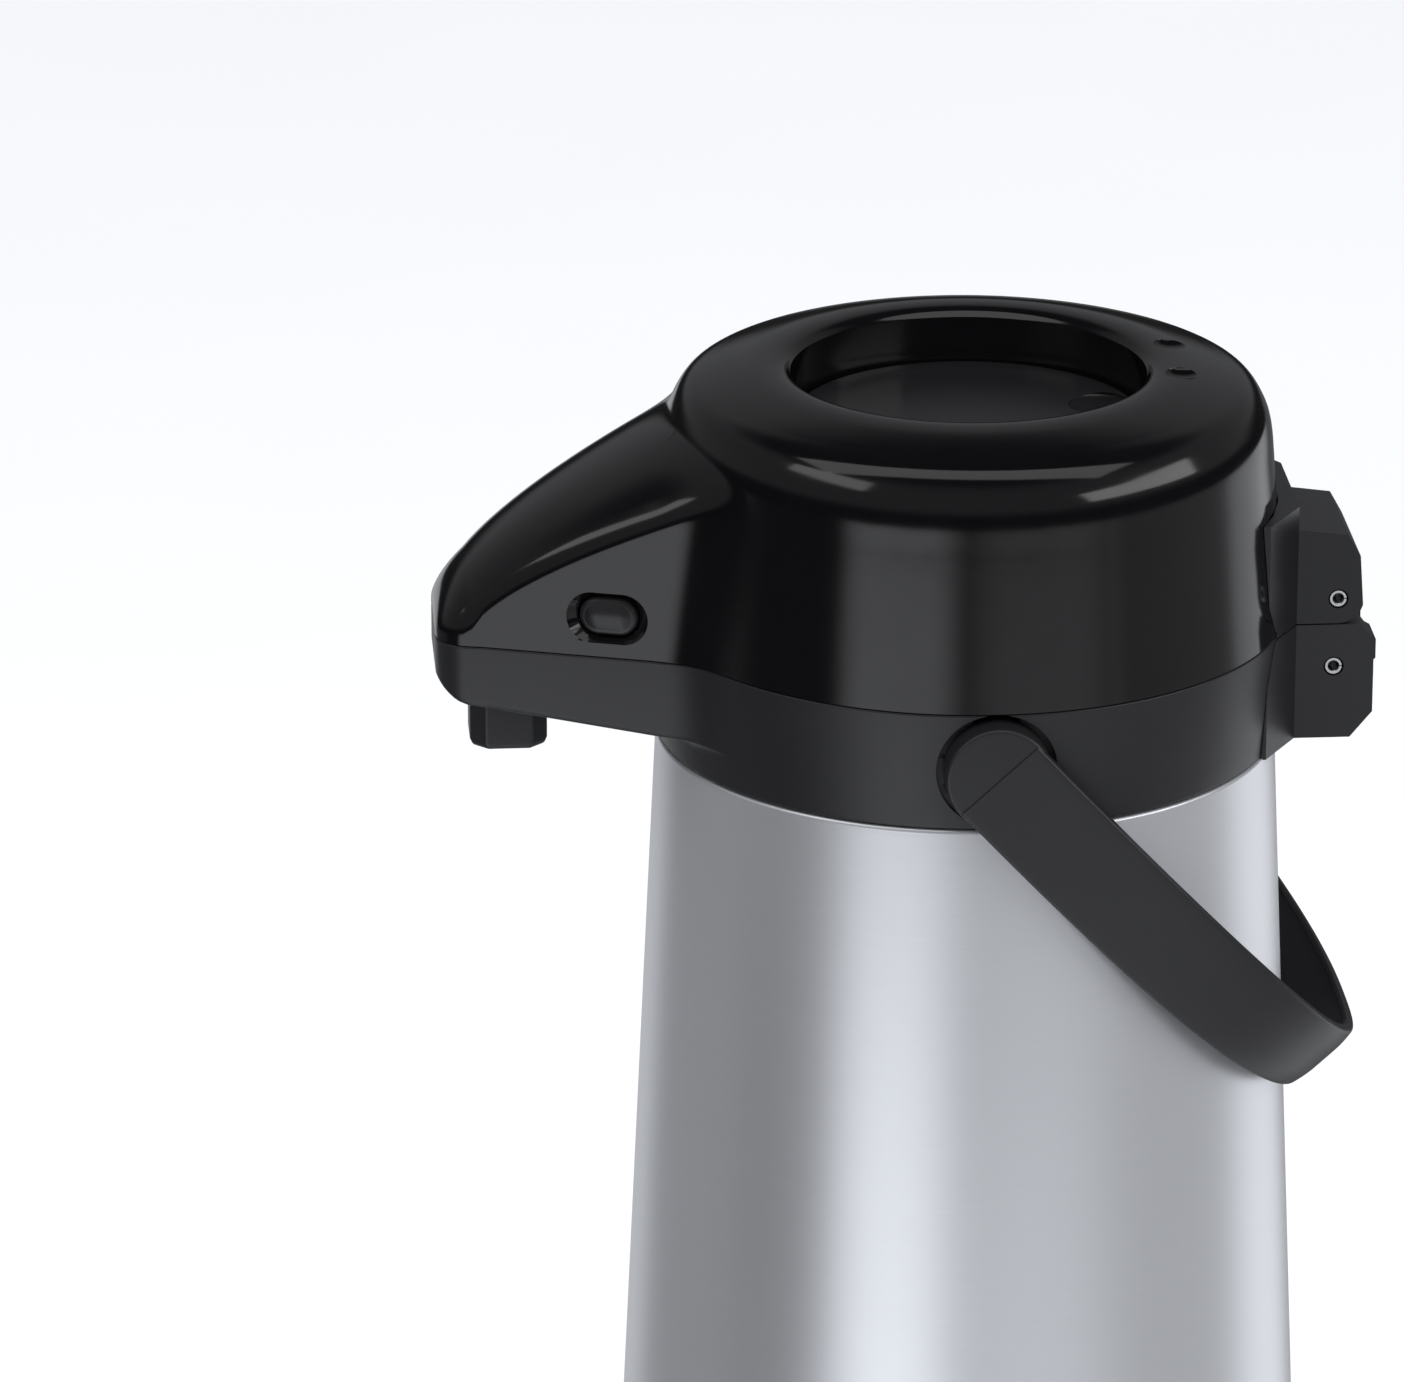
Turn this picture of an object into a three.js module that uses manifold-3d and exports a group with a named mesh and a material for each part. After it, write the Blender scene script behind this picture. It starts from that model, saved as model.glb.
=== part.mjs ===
// Thermal coffee airpot: a vacuum flask in a tapered steel shell, with a hinged pump lid,
// a pouring spout and a swinging carrying bail. Millimetres, +Z up. The origin is the centre
// of the underside, the spout points to -Y and the lid hinge is at +Y.
import * as THREE from "three";
import { mergeVertices } from "three/addons/utils/BufferGeometryUtils.js";
import Module from "manifold-3d";

const wasm = await Module();
wasm.setup();

// ---- Driving sizes -----------------------------------------------------------------------
const seamZ = 311; // the plane where the lid meets the collar
const seamR = 71.5; // outer radius at that plane
const lidH = 57.5; // crest of the lid above the seam
const collarH = 27.3; // collar below the seam
const collarTaper = 1.6; // the collar is this much narrower at its lower edge
const bodyTaper = 0.0468; // the shell widens by this much per millimetre downwards
const gap = 0.3; // between pieces that touch
const turnGap = 0.6; // between pieces that turn or slide past each other

const shellWall = 1;
const baseRingH = 14;
const padH = 2;
const capRimR = seamR - 5.5;
const capThreadR = capRimR - 4;
const capWall = 2.7;
const padR = capRimR - 8;
const ringWall = 3;

const flaskR = seamR - 14.5; // inside the flask
const flaskWall = 1;
const vacuumGap = 4;
const neckR = 31; // inside the flask's mouth
const neckWidthGap = 1.6;
const neckH = 37; // from the shoulder to the mouth
const flaskCornerR = 12;
const shoulderRise = 26;
const cushionR = capRimR - 18;

const plasticWall = 2.4;
const webZ = seamZ - 15.5; // underside of the collar's web
const webH = 2.5;
const mouthR = neckR - 0.5; // hole in the web
const gasketH = 2.2;

const spoutReach = seamR + 48.5; // axis to tip
const spoutRootY = 13.9 - seamR;
const spoutRootHalf = 36.6; // half width where the spout leaves the lid
const spoutSlope = 0.318; // half width lost per millimetre towards the tip
const noseR = 9;
const noseLift = 3.5; // the underside curves up by this much at the tip
const spoutRise = 47.5; // ridge above its tip, at the root
const ridgePower = 0.62; // below 1, so the ridge is steepest at the tip
const panelRise = 37; // top edge of the side panel, at the root
const panelPower = 0.65;
const panelStart = 0.12; // share of the spout's length where the panel starts to rise
const crownPower = 2.2; // superellipse exponent of the spout's crown
const spoutFloorDrop = 19.4; // underside below the seam, at the root
const tipFloorDrop = 13.5;

const tubeR = 4.5;
const tubeBore = 3.4;
const tubeBend = 6;
const tubeFall = 2.4; // the coffee tube climbs by this much towards the spout
const headR = neckR + 3;
const headH = 2 * tubeR + 1.4;
const siphonR = 5;
const siphonBore = 3.6;
const siphonFootGap = 6;
const ballR = 4.6;
const ballTravel = 2;

const nozzleSize = 17.4;
const nozzleH = 13;
const nozzleY = 16.5 - spoutReach;
const spigotR = 6;

const wellR = 39.8; // inside the lid's ring
const buttonSink = 12; // top of the pressed button below the crest
const buttonSkirtH = 21;
const pumpH = 16.4; // lid base to plunger, with the button pressed
const hubR = 12.2;
const bellowsR = wellR - 3.8;
const bellowsDepth = 5;
const bellowsFolds = 4;
const springR = 20;
const springWire = 1.2;
const scoopR = 6.5;
const scoopAt = wellR - 8.8; // scoop's distance from the axis
const markAt = wellR + 8.2; // each mark's distance from the axis
const markR = 2.6;
const lockHalfTurn = 13; // degrees from the hinge's direction to each mark

const screwR = 1.5;
const screwHeadR = 2.8;
const screwHeadH = 1.4;
const bossH = 6;

const latchY = -seamR - 11.1;
const latchZ = seamZ + 9;
const latchLong = 13;
const latchTall = 8.4;
const latchDepth = 9;
const latchArmHalf = 3.5;
const latchArmH = 3;
const catchDrop = 5; // catch rib below the seam
const catchHalf = 4;
const latchRibHalf = 6; // the rib between the two latch springs

const hingeHalf = 15.5;
const upperPin = { y: seamR + 10.7, z: seamZ + 5 };
const lowerPin = { y: seamR + 10, z: seamZ - 11 };
const pinR = 2;
const pinBore = 1.2;
const knuckleR = 5.5;
const knuckleHalf = 5.2;
const bladeHalf = 2.5;
const hingeSplitR = 5.8; // upper pin to the face between the two blocks
const hingeBedY = seamR - 10; // the blocks start inside the wall, and are trimmed by it
const padHalf = 2 * hingeHalf - 2;

const bailPivotZ = seamZ - collarH / 2 + 0.15;
const bailRestAngle = 47.5; // degrees below the horizontal, towards the rear
const bailHalf = seamR + 5.5; // half of the overall width
const bailReach = 1.5922 * bailHalf;
const bailBow = 2.5; // superellipse exponent of its outline
const bailEyeR = 0.4286 * collarH;
const strapHalf = bailEyeR - 0.3;
const strapPinch = 2.6; // the strap is this much narrower on each edge at the loop
const strapH = 3.2;
const strapWeb = 1.6;
const strapLip = 1.6;
const pegR = 5;
const pegLength = 6;
const socketDepth = 2.6; // of the round seat in the collar's side
const socketRim = 1.6; // the seat is this much larger than the bail's eye

const roundSides = 40; // facets round what shows
const innerSides = 24; // facets round what is inside
const smallSides = 12;

// ---- Places that follow from the driving sizes ------------------------------------------
const collarBottomZ = seamZ - collarH;
const collarBottomR = seamR - collarTaper;
const shellR = (z) => collarBottomR + bodyTaper * (collarBottomZ - z);
const collarR = (z) => collarBottomR + (collarTaper * (z - collarBottomZ)) / collarH;
const lidTopZ = seamZ + lidH;
const shellBottomZ = baseRingH + 1;
const capBottomZ = padH + gap;
const capTopZ = capBottomZ + capWall;
const neckTopZ = webZ - 2 * gap - gasketH;
const webTopZ = webZ + webH;
const flaskOuterR = flaskR + flaskWall + vacuumGap + flaskWall;
const flaskBottomZ = capTopZ + 23;
const flaskFloorZ = flaskBottomZ + 2 * flaskWall + vacuumGap;
const shoulderZ = neckTopZ - neckH;
const headZ = webTopZ + gap;
const headTopZ = headZ + headH;
const tubeZ = headZ + tubeR + 0.3;
const ballSeatZ = headZ - 10.3;
const lidBaseZ = seamZ + 0.4;
const lidBaseTopZ = lidBaseZ + plasticWall;
const buttonTopZ = lidTopZ - buttonSink;
const plungerZ = lidBaseTopZ + pumpH;
const plungerTopZ = plungerZ + plasticWall;
const spoutTipY = -spoutReach;
const spoutBackY = 24.5 - seamR; // the spout's solids end inside the lid and the collar
const socketX = collarR(bailPivotZ) - socketDepth;
const bailAngle = THREE.MathUtils.degToRad(bailRestAngle);
const wallAngle = Math.atan(spoutSlope);
const splitZ = upperPin.z - hingeSplitR; // face between the two hinge blocks
const upperBackY = upperPin.y + 5.6;
const plugR = headR - 2; // outside of the gasket under the lid base
const screwRingR = (wellR + seamR) / 2 + 1.85;

// ---- Solids ------------------------------------------------------------------------------

// Turns a closed geometry into a solid, with its faces pointing out.
function solid(geometry) {
  const bare = geometry.clone();
  bare.deleteAttribute("normal");
  bare.deleteAttribute("uv");
  const merged = mergeVertices(bare, 1e-4);
  const vertProperties = merged.attributes.position.array;
  const triVerts = new Uint32Array(merged.index.array);
  const made = new wasm.Manifold(new wasm.Mesh({ numProp: 3, vertProperties, triVerts }));
  if (made.volume() > 0) return made;
  for (let i = 0; i < triVerts.length; i += 3) {
    [triVerts[i + 1], triVerts[i + 2]] = [triVerts[i + 2], triVerts[i + 1]];
  }
  return new wasm.Manifold(new wasm.Mesh({ numProp: 3, vertProperties, triVerts }));
}

function geometryOf(made) {
  const { vertProperties, triVerts } = made.getMesh();
  const geometry = new THREE.BufferGeometry();
  geometry.setAttribute("position", new THREE.BufferAttribute(new Float32Array(vertProperties), 3));
  geometry.setIndex(new THREE.BufferAttribute(new Uint32Array(triVerts), 1));
  return geometry;
}

const join = (...parts) => parts.reduce((all, one) => all.add(one));
const cut = (from, ...tools) => tools.reduce((left, tool) => left.subtract(tool), from);

// The same solid on the other side of the plane x = 0.
const mirrored = (made) => solid(geometryOf(made).scale(-1, 1, 1));

const points2 = (list) => list.map(([x, y]) => new THREE.Vector2(x, y));
const outline = (list) => new THREE.Shape(points2(list));

// A profile of [radius, z] points turned about the Z axis.
function turned(profile, sides = roundSides) {
  const closed = profile[0][0] > 0 ? [...profile, profile[0]] : profile;
  return solid(new THREE.LatheGeometry(points2(closed), sides).rotateX(Math.PI / 2));
}

// A ring or disc with square edges.
function ring(inner, outer, low, high, sides = roundSides) {
  if (inner > 0) return turned([[inner, low], [outer, low], [outer, high], [inner, high]], sides);
  return turned([[0, low], [outer, low], [outer, high], [0, high]], sides);
}

// An outline in x and y, raised from low to high.
function raised(shape, low, high) {
  const settings = { depth: high - low, bevelEnabled: false, curveSegments: 8 };
  return solid(new THREE.ExtrudeGeometry(shape, settings).translate(0, 0, low));
}

// An outline in y and z, carried along X from one side to the other.
function acrossX(shape, from, to) {
  const settings = { depth: to - from, bevelEnabled: false, curveSegments: 8 };
  const turn = new THREE.Matrix4().makeBasis(
    new THREE.Vector3(0, 1, 0),
    new THREE.Vector3(0, 0, 1),
    new THREE.Vector3(1, 0, 0),
  );
  return solid(new THREE.ExtrudeGeometry(shape, settings).applyMatrix4(turn).translate(from, 0, 0));
}

function block(x0, x1, y0, y1, z0, z1) {
  const box = new THREE.BoxGeometry(x1 - x0, y1 - y0, z1 - z0);
  return solid(box.translate((x0 + x1) / 2, (y0 + y1) / 2, (z0 + z1) / 2));
}

function disc(x, y, radius, low, high, sides = smallSides) {
  const drum = new THREE.CylinderGeometry(radius, radius, high - low, sides);
  return solid(drum.rotateX(Math.PI / 2).translate(x, y, (low + high) / 2));
}

// A round bar along X through the point (y, z).
function bar(y, z, radius, from, to, sides = smallSides) {
  const drum = new THREE.CylinderGeometry(radius, radius, to - from, sides);
  return solid(drum.rotateZ(Math.PI / 2).translate((from + to) / 2, y, z));
}

// Two half circles joined by straight sides.
function oblong(long, tall) {
  const end = long / 2 - tall / 2;
  const shape = new THREE.Shape();
  shape.absarc(end, 0, tall / 2, -Math.PI / 2, Math.PI / 2);
  shape.absarc(-end, 0, tall / 2, Math.PI / 2, (3 * Math.PI) / 2);
  return shape;
}

// A bar along X with that oblong section.
function acrossOblong(long, tall, from, to) {
  return acrossX(oblong(long, tall), from, to);
}

// A circle of the given radius carried along a curve, with an optional bore.
function pipe(path, radius, bore, steps, sides) {
  const circle = (r) => new Array(sides).fill(0).map((_, i) => {
    const turn = (2 * Math.PI * i) / sides;
    return [r * Math.cos(turn), r * Math.sin(turn)];
  });
  const shape = outline(circle(radius));
  if (bore > 0) shape.holes.push(new THREE.Path(points2(circle(bore))));
  return solid(new THREE.ExtrudeGeometry(shape, { steps, extrudePath: path, bevelEnabled: false }));
}

// A coil spring along Z, resting on z = 0.
class Helix extends THREE.Curve {
  constructor(radius, height, turns) {
    super();
    Object.assign(this, { radius, height, turns });
  }

  getPoint(t, target = new THREE.Vector3()) {
    const turn = 2 * Math.PI * this.turns * t;
    return target.set(this.radius * Math.cos(turn), this.radius * Math.sin(turn), this.height * t);
  }
}

function coil(radius, wire, height, turns, stepsPerTurn = 12) {
  const path = new Helix(radius, height - 2 * wire, turns);
  const made = pipe(path, wire, 0, turns * stepsPerTurn, 5);
  return solid(geometryOf(made).translate(0, 0, wire));
}

// ---- Named meshes ------------------------------------------------------------------------
const airpot = new THREE.Group();

function finish(color, roughness, metalness) {
  return { color, roughness, metalness };
}
const finishes = {
  glossBlack: finish(0x0c0b0c, 0.12, 0),
  satinBlack: finish(0x1c1b1d, 0.45, 0),
  mattBlack: finish(0x232124, 0.6, 0),
  steel: finish(0xc4c4c8, 0.35, 1),
  wire: finish(0xb0b0b4, 0.25, 1),
  rubber: finish(0x303030, 0.85, 0),
  whitePlastic: finish(0xe4e2dc, 0.5, 0),
};

function addPiece(name, made, look) {
  const geometry = geometryOf(made);
  geometry.computeVertexNormals();
  const mesh = new THREE.Mesh(geometry, new THREE.MeshStandardMaterial(look));
  mesh.name = name;
  airpot.add(mesh);
  return mesh;
}

// ---- Base --------------------------------------------------------------------------------
function addBase() {
  addPiece("non_slip_pad", ring(0, padR, 0, padH), finishes.rubber);

  const threadTop = capTopZ + 7;
  const cap = turned([
    [0, capBottomZ], [capRimR, capBottomZ], [capRimR, capTopZ], [capThreadR, capTopZ],
    [capThreadR, threadTop], [capThreadR - capWall, threadTop], [capThreadR - capWall, capTopZ],
    [0, capTopZ],
  ], innerSides);
  addPiece("bottom_cap", cap, finishes.satinBlack);

  const outside = shellR(shellBottomZ);
  const spigot = shellR(shellBottomZ + 6) - shellWall - gap;
  const floorZ = capTopZ + gap;
  const baseRing = turned([
    [capRimR + gap, 1], [outside - 2, 1], [outside, 3], [outside, shellBottomZ - gap],
    [spigot, shellBottomZ - gap], [spigot, shellBottomZ + 6], [spigot - ringWall, shellBottomZ + 6],
    [spigot - ringWall, floorZ + ringWall], [capThreadR + gap, floorZ + ringWall],
    [capThreadR + gap, floorZ], [capRimR + gap, floorZ],
  ]);
  addPiece("base_ring", baseRing, finishes.satinBlack);

  const top = flaskBottomZ - gap;
  const cushion = turned([
    [0, capTopZ + gap], [cushionR, capTopZ + gap], [cushionR, top - 4], [cushionR - 4, top], [0, top],
  ], innerSides);
  addPiece("liner_cushion", cushion, finishes.rubber);
}

// ---- Shell and flask ---------------------------------------------------------------------
function addShell() {
  const top = collarBottomZ - gap;
  const shell = turned([
    [shellR(shellBottomZ), shellBottomZ], [shellR(top - 1), top - 1], [shellR(top) - 0.6, top],
    [flaskOuterR + 2, top], [flaskOuterR + 2, top - shellWall],
    [shellR(top) - shellWall, top - shellWall - 0.6], [shellR(shellBottomZ) - shellWall, shellBottomZ],
  ]);
  addPiece("outer_shell", shell, finishes.steel);
}

// The outside of a bottle, from the middle of its bottom to the top of its neck.
function bottle(radius, bottomZ, neck, topZ, inset) {
  const r = radius - inset;
  const low = bottomZ + inset;
  const profile = [[0, low]];
  for (let i = 0; i <= 2; i++) {
    const turn = (Math.PI / 4) * i;
    const across = r - flaskCornerR + flaskCornerR * Math.sin(turn);
    profile.push([across, low + flaskCornerR * (1 - Math.cos(turn))]);
  }
  for (let i = 0; i <= 4; i++) {
    const turn = (Math.PI / 8) * i;
    const across = neck - inset + (radius - neck) * Math.cos(turn);
    profile.push([across, shoulderZ + shoulderRise * Math.sin(turn)]);
  }
  profile.push([neck - inset, topZ]);
  return profile;
}

function addFlask() {
  const innerNeck = neckR + flaskWall;
  const outerNeck = innerNeck + neckWidthGap + flaskWall;
  const innerOut = bottle(flaskR + flaskWall, flaskFloorZ - flaskWall, innerNeck, neckTopZ, 0);
  const innerIn = bottle(flaskR + flaskWall, flaskFloorZ - flaskWall, innerNeck, neckTopZ, flaskWall);
  const lip = ring(innerNeck - 0.5, outerNeck + 1.5, neckTopZ - flaskWall, neckTopZ, innerSides);
  const inner = join(turned([...innerOut, ...innerIn.reverse()], innerSides), lip);
  addPiece("liner_inner_wall", inner, finishes.steel);

  const outerTop = neckTopZ - flaskWall - gap;
  const outerOut = bottle(flaskOuterR, flaskBottomZ, outerNeck, outerTop, 0);
  const outerIn = bottle(flaskOuterR, flaskBottomZ, outerNeck, outerTop, flaskWall);
  addPiece("liner_outer_wall", turned([...outerOut, ...outerIn.reverse()], innerSides), finishes.steel);

  const gasketZ = neckTopZ + gap;
  const gasket = ring(mouthR + 0.8, outerNeck + 1.5, gasketZ, gasketZ + gasketH, innerSides);
  addPiece("liner_gasket", gasket, finishes.rubber);
}

// ---- Spout -------------------------------------------------------------------------------

// Half width of the spout, with rounded corners at the nose.
function spoutHalf(y, inset) {
  const cornerY = spoutTipY + noseR;
  const straight = spoutRootHalf - spoutSlope * (spoutRootY - Math.max(y, cornerY)) - inset;
  const into = Math.max(0, cornerY - y);
  const radius = noseR - inset;
  return straight - radius + Math.sqrt(Math.max(0, radius * radius - into * into));
}

// Place along the spout: 0 at the tip, 1 at the root.
const spoutShare = (y) => Math.max(0, (y - spoutTipY) / (spoutRootY - spoutTipY));
const ridgeZ = (y) => seamZ + 2.5 + spoutRise * spoutShare(y) ** ridgePower;
const panelShare = (y) => Math.max(0, spoutShare(y) - panelStart);
const panelTopZ = (y) => seamZ + 1.2 + panelRise * panelShare(y) ** panelPower;

function spoutFloorZ(y) {
  const nose = noseLift * Math.max(0, 1 - (y - spoutTipY) / 6) ** 2;
  const share = Math.min(1, spoutShare(y));
  return seamZ - tipFloorDrop + nose - (spoutFloorDrop - tipFloorDrop) * share;
}

// A bar along the spout. low(y) is its floor and high(y, v) its top, v going from -1 to 1 across.
function spoutBar(inset, backY, low, high) {
  const lengthwise = 12;
  const crosswise = 8;
  const box = new THREE.BoxGeometry(1, 1, 1, crosswise, lengthwise, 1);
  const place = box.attributes.position;
  for (let i = 0; i < place.count; i++) {
    const v = Math.sin(Math.PI * place.getX(i));
    const along = (place.getY(i) + 0.5) ** 1.8;
    const y = spoutTipY + inset + (backY - spoutTipY - inset) * along;
    const z = place.getZ(i) > 0 ? high(y, v) : low(y);
    place.setXYZ(i, v * spoutHalf(y, inset), y, z);
  }
  return solid(box);
}

function upperSpout(inset, lowZ) {
  const high = (y, v) => {
    const crown = (1 - Math.abs(v) ** crownPower) ** (1 / crownPower);
    return panelTopZ(y) - inset + (ridgeZ(y) - panelTopZ(y)) * crown;
  };
  return spoutBar(inset, spoutBackY, () => lowZ, high);
}

function lowerSpout() {
  return spoutBar(0, spoutBackY, spoutFloorZ, () => seamZ - gap);
}

function lowerSpoutHollow() {
  const floor = (y) => Math.max(spoutFloorZ(y) + plasticWall, webTopZ);
  return spoutBar(plasticWall, -headR, floor, () => seamZ + 2);
}

// Moves a solid made in the frame of the spout's right wall: x outwards, y along it, z up.
function onSpoutWall(made, y, z) {
  const turn = new THREE.Matrix4().makeRotationZ(-wallAngle);
  const move = new THREE.Matrix4().makeTranslation(spoutHalf(y, 0), y, z);
  return solid(geometryOf(made).applyMatrix4(move.multiply(turn)));
}

// ---- Collar ------------------------------------------------------------------------------
function addCollar() {
  const top = seamZ - gap;
  const wall = plasticWall + 0.6;
  let collar = turned([
    [collarBottomR, collarBottomZ], [collarR(top), top], [collarR(top) - wall, top],
    [collarR(webTopZ) - wall, webTopZ], [mouthR, webTopZ], [mouthR, webZ],
    [collarR(webZ) - wall, webZ], [collarBottomR - wall, collarBottomZ],
  ]);
  const inside = ring(0, collarR(webZ) - wall, collarBottomZ - 1, top + 1);
  const spout = cut(lowerSpout(), inside);
  const nozzleHole = disc(0, nozzleY, spigotR + gap, webZ - 10, webTopZ + 4);
  collar = cut(join(collar, spout), lowerSpoutHollow(), nozzleHole);

  const rib = block(-plasticWall - 0.7, -plasticWall + 0.5, -catchHalf, catchHalf, -1, 1);
  const ribRight = onSpoutWall(rib, latchY, seamZ - catchDrop);
  collar = join(collar, ribRight, mirrored(ribRight));

  // Sockets for the bail: a flat round seat on the outside, a boss behind it and a bore.
  for (const side of [-1, 1]) {
    const socketBar = (radius, from, to, sides) => {
      const ends = [side * (socketX + from), side * (socketX + to)];
      return bar(0, bailPivotZ, radius, Math.min(...ends), Math.max(...ends), sides);
    };
    const seat = socketBar(bailEyeR + socketRim, 0, 9, 24);
    const boss = socketBar(bailEyeR + socketRim - 0.4, -plasticWall, 0, 24);
    const bore = socketBar(pegR + turnGap, -pegLength - 1, 9, smallSides);
    collar = cut(join(cut(collar, seat), boss), bore);
  }
  addPiece("collar", collar, finishes.mattBlack);
}

// ---- Coffee path -------------------------------------------------------------------------
function tubePath() {
  const highZ = tubeZ + tubeFall;
  const path = new THREE.CurvePath();
  const start = new THREE.Vector3(0, -siphonR - 7, tubeZ);
  const before = new THREE.Vector3(0, nozzleY + tubeBend, highZ);
  const corner = new THREE.Vector3(0, nozzleY, highZ);
  const end = new THREE.Vector3(0, nozzleY, highZ - tubeBend);
  path.add(new THREE.LineCurve3(start, before));
  path.add(new THREE.QuadraticBezierCurve3(before, corner, end));
  return path;
}

function sector(inner, outer, middle, halfTurn) {
  const shape = new THREE.Shape();
  shape.absarc(0, 0, outer, middle - halfTurn, middle + halfTurn, false);
  shape.absarc(0, 0, inner, middle + halfTurn, middle - halfTurn, true);
  return shape;
}

function addCoffeePath() {
  addPiece("spout_tube", pipe(tubePath(), tubeR, tubeBore, 18, 10), finishes.whitePlastic);

  const bossR = siphonR + 3;
  const flangeR = mouthR - gap;
  const bossBottomZ = ballSeatZ - 12;
  const bore = siphonR + gap;
  let head = turned([
    [0, bossBottomZ], [bossR, bossBottomZ], [bossR, headZ - 5], [flangeR, headZ - 5],
    [flangeR, headZ], [headR, headZ], [headR, headTopZ], [0, headTopZ],
  ], innerSides);
  const ballCentreZ = ballSeatZ + Math.sqrt(ballR ** 2 - siphonBore ** 2);
  const ballRoomTop = ballCentreZ + ballR + ballTravel + gap;
  head = cut(head, disc(0, 0, bore, bossBottomZ - 1, ballRoomTop));
  head = cut(head, disc(0, 0, siphonBore, ballSeatZ, tubeZ));
  const tubeSpan = new THREE.LineCurve3(
    new THREE.Vector3(0, -2, tubeZ - 0.3),
    new THREE.Vector3(0, -headR - 6, tubeZ + 0.8),
  );
  head = cut(head, pipe(tubeSpan, tubeR + gap, 0, 2, 16));
  const windowHalfTurn = 0.5;
  for (let i = 0; i < 4; i++) {
    const middle = Math.PI / 4 + (Math.PI / 2) * i;
    const opening = sector(bossR + 3, flangeR - 4, middle, windowHalfTurn);
    head = cut(head, raised(opening, headZ - 8, headTopZ + 1));
  }
  addPiece("tube_head", head, finishes.whitePlastic);

  const siphon = ring(siphonBore, siphonR, flaskFloorZ + siphonFootGap, ballSeatZ, smallSides);
  addPiece("siphon_tube", siphon, finishes.whitePlastic);

  const lift = Math.sqrt((ballR + 0.05) ** 2 - siphonBore ** 2);
  const ball = new THREE.SphereGeometry(ballR, 12, 8).translate(0, 0, ballSeatZ + lift + 0.1);
  addPiece("valve_ball", solid(ball), finishes.steel);

  const half = nozzleSize / 2;
  const chamfer = 3.5;
  const flat = half - chamfer;
  const octagon = outline([
    [half, -flat], [half, flat], [flat, half], [-flat, half],
    [-half, flat], [-half, -flat], [-flat, -half], [flat, -half],
  ]);
  const topZ = spoutFloorZ(nozzleY + half) - gap;
  const bevel = 2;
  const body = new THREE.ExtrudeGeometry(octagon, {
    depth: nozzleH - 2 * bevel,
    bevelSize: bevel,
    bevelOffset: -bevel,
    bevelThickness: bevel,
    bevelSegments: 2,
  });
  const bodySolid = solid(body.translate(0, nozzleY, topZ - nozzleH + bevel));
  const spigot = disc(0, nozzleY, spigotR, topZ - 3, webTopZ + 0.4);
  const outlet = disc(0, nozzleY, tubeBore + 0.4, topZ - nozzleH - 1, webTopZ + 1);
  addPiece("spout_nozzle", cut(join(bodySolid, spigot), outlet), finishes.mattBlack);
}

// ---- Lid ---------------------------------------------------------------------------------

// The lid's outside from the seam to the ring, as [radius, z], grown by the given amount.
function lidProfile(grow) {
  const ringW = seamR - wellR;
  const out = (share) => seamR - ringW * share;
  const rise = (share) => seamZ + lidH * share;
  return [
    [seamR + grow, seamZ], [out(0.0915) + grow, rise(0.61)], [out(0.12) + grow, rise(0.765)],
    [out(0.1735) + grow, rise(0.852) + grow / 2], [out(0.268) + grow, rise(0.922) + grow],
    [out(0.426), rise(0.957) + grow], [out(0.678), rise(0.991) + grow],
    [out(0.836), lidTopZ + grow], [out(0.943), lidTopZ - 0.5 + grow], [wellR, lidTopZ - 2 + grow],
  ];
}

const domeSolid = (grow) => turned([[0, seamZ], ...lidProfile(grow), [0, lidTopZ - 2 + grow]]);

function addLidCover() {
  const wellWallR = wellR + plasticWall;
  const wellBottomZ = lidBaseTopZ + 8;
  const under = lidProfile(-plasticWall).filter(([r]) => r > wellWallR + 0.5);
  const domeRoom = turned([
    [0, seamZ - 1], [seamR - plasticWall, seamZ - 1], ...under,
    [wellWallR, lidTopZ - 2 - plasticWall], [wellWallR, wellBottomZ], [0, wellBottomZ],
  ]);
  let cover = join(domeSolid(0), upperSpout(0, seamZ));
  cover = cut(cover, domeRoom, upperSpout(plasticWall, seamZ - 1), ring(0, wellR, seamZ - 1, lidTopZ + 1));

  // Openings and shallow seats for the two latch buttons.
  const through = acrossOblong(latchLong + 2 * turnGap, latchTall + 2 * turnGap, -plasticWall - 4, 1);
  const seat = acrossOblong(latchLong + 6, latchTall + 3.6, -0.8, 1);
  const opening = onSpoutWall(join(through, seat), latchY, latchZ);
  cover = cut(cover, opening, mirrored(opening));

  // A rib under the spout's roof, which the latch springs push against.
  const ribTopZ = ridgeZ(latchY - catchHalf) - 1;
  const rib = block(
    -latchRibHalf, latchRibHalf, latchY - catchHalf, latchY + catchHalf, latchZ - 5, ribTopZ,
  );
  cover = join(cover, rib);

  // Two shallow marks on the ring, for open and locked.
  for (const side of [-1, 1]) {
    const turn = Math.PI / 2 + side * THREE.MathUtils.degToRad(lockHalfTurn);
    const [x, y] = [markAt * Math.cos(turn), markAt * Math.sin(turn)];
    cover = cut(cover, disc(x, y, markR, lidTopZ - 1.3, lidTopZ + 2, 16));
  }
  addPiece("lid_cover", cover, finishes.glossBlack);
}

const screwTurns = [45, 135, 225, 315].map(THREE.MathUtils.degToRad);
const screwPlace = (turn) => [screwRingR * Math.cos(turn), screwRingR * Math.sin(turn)];

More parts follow.
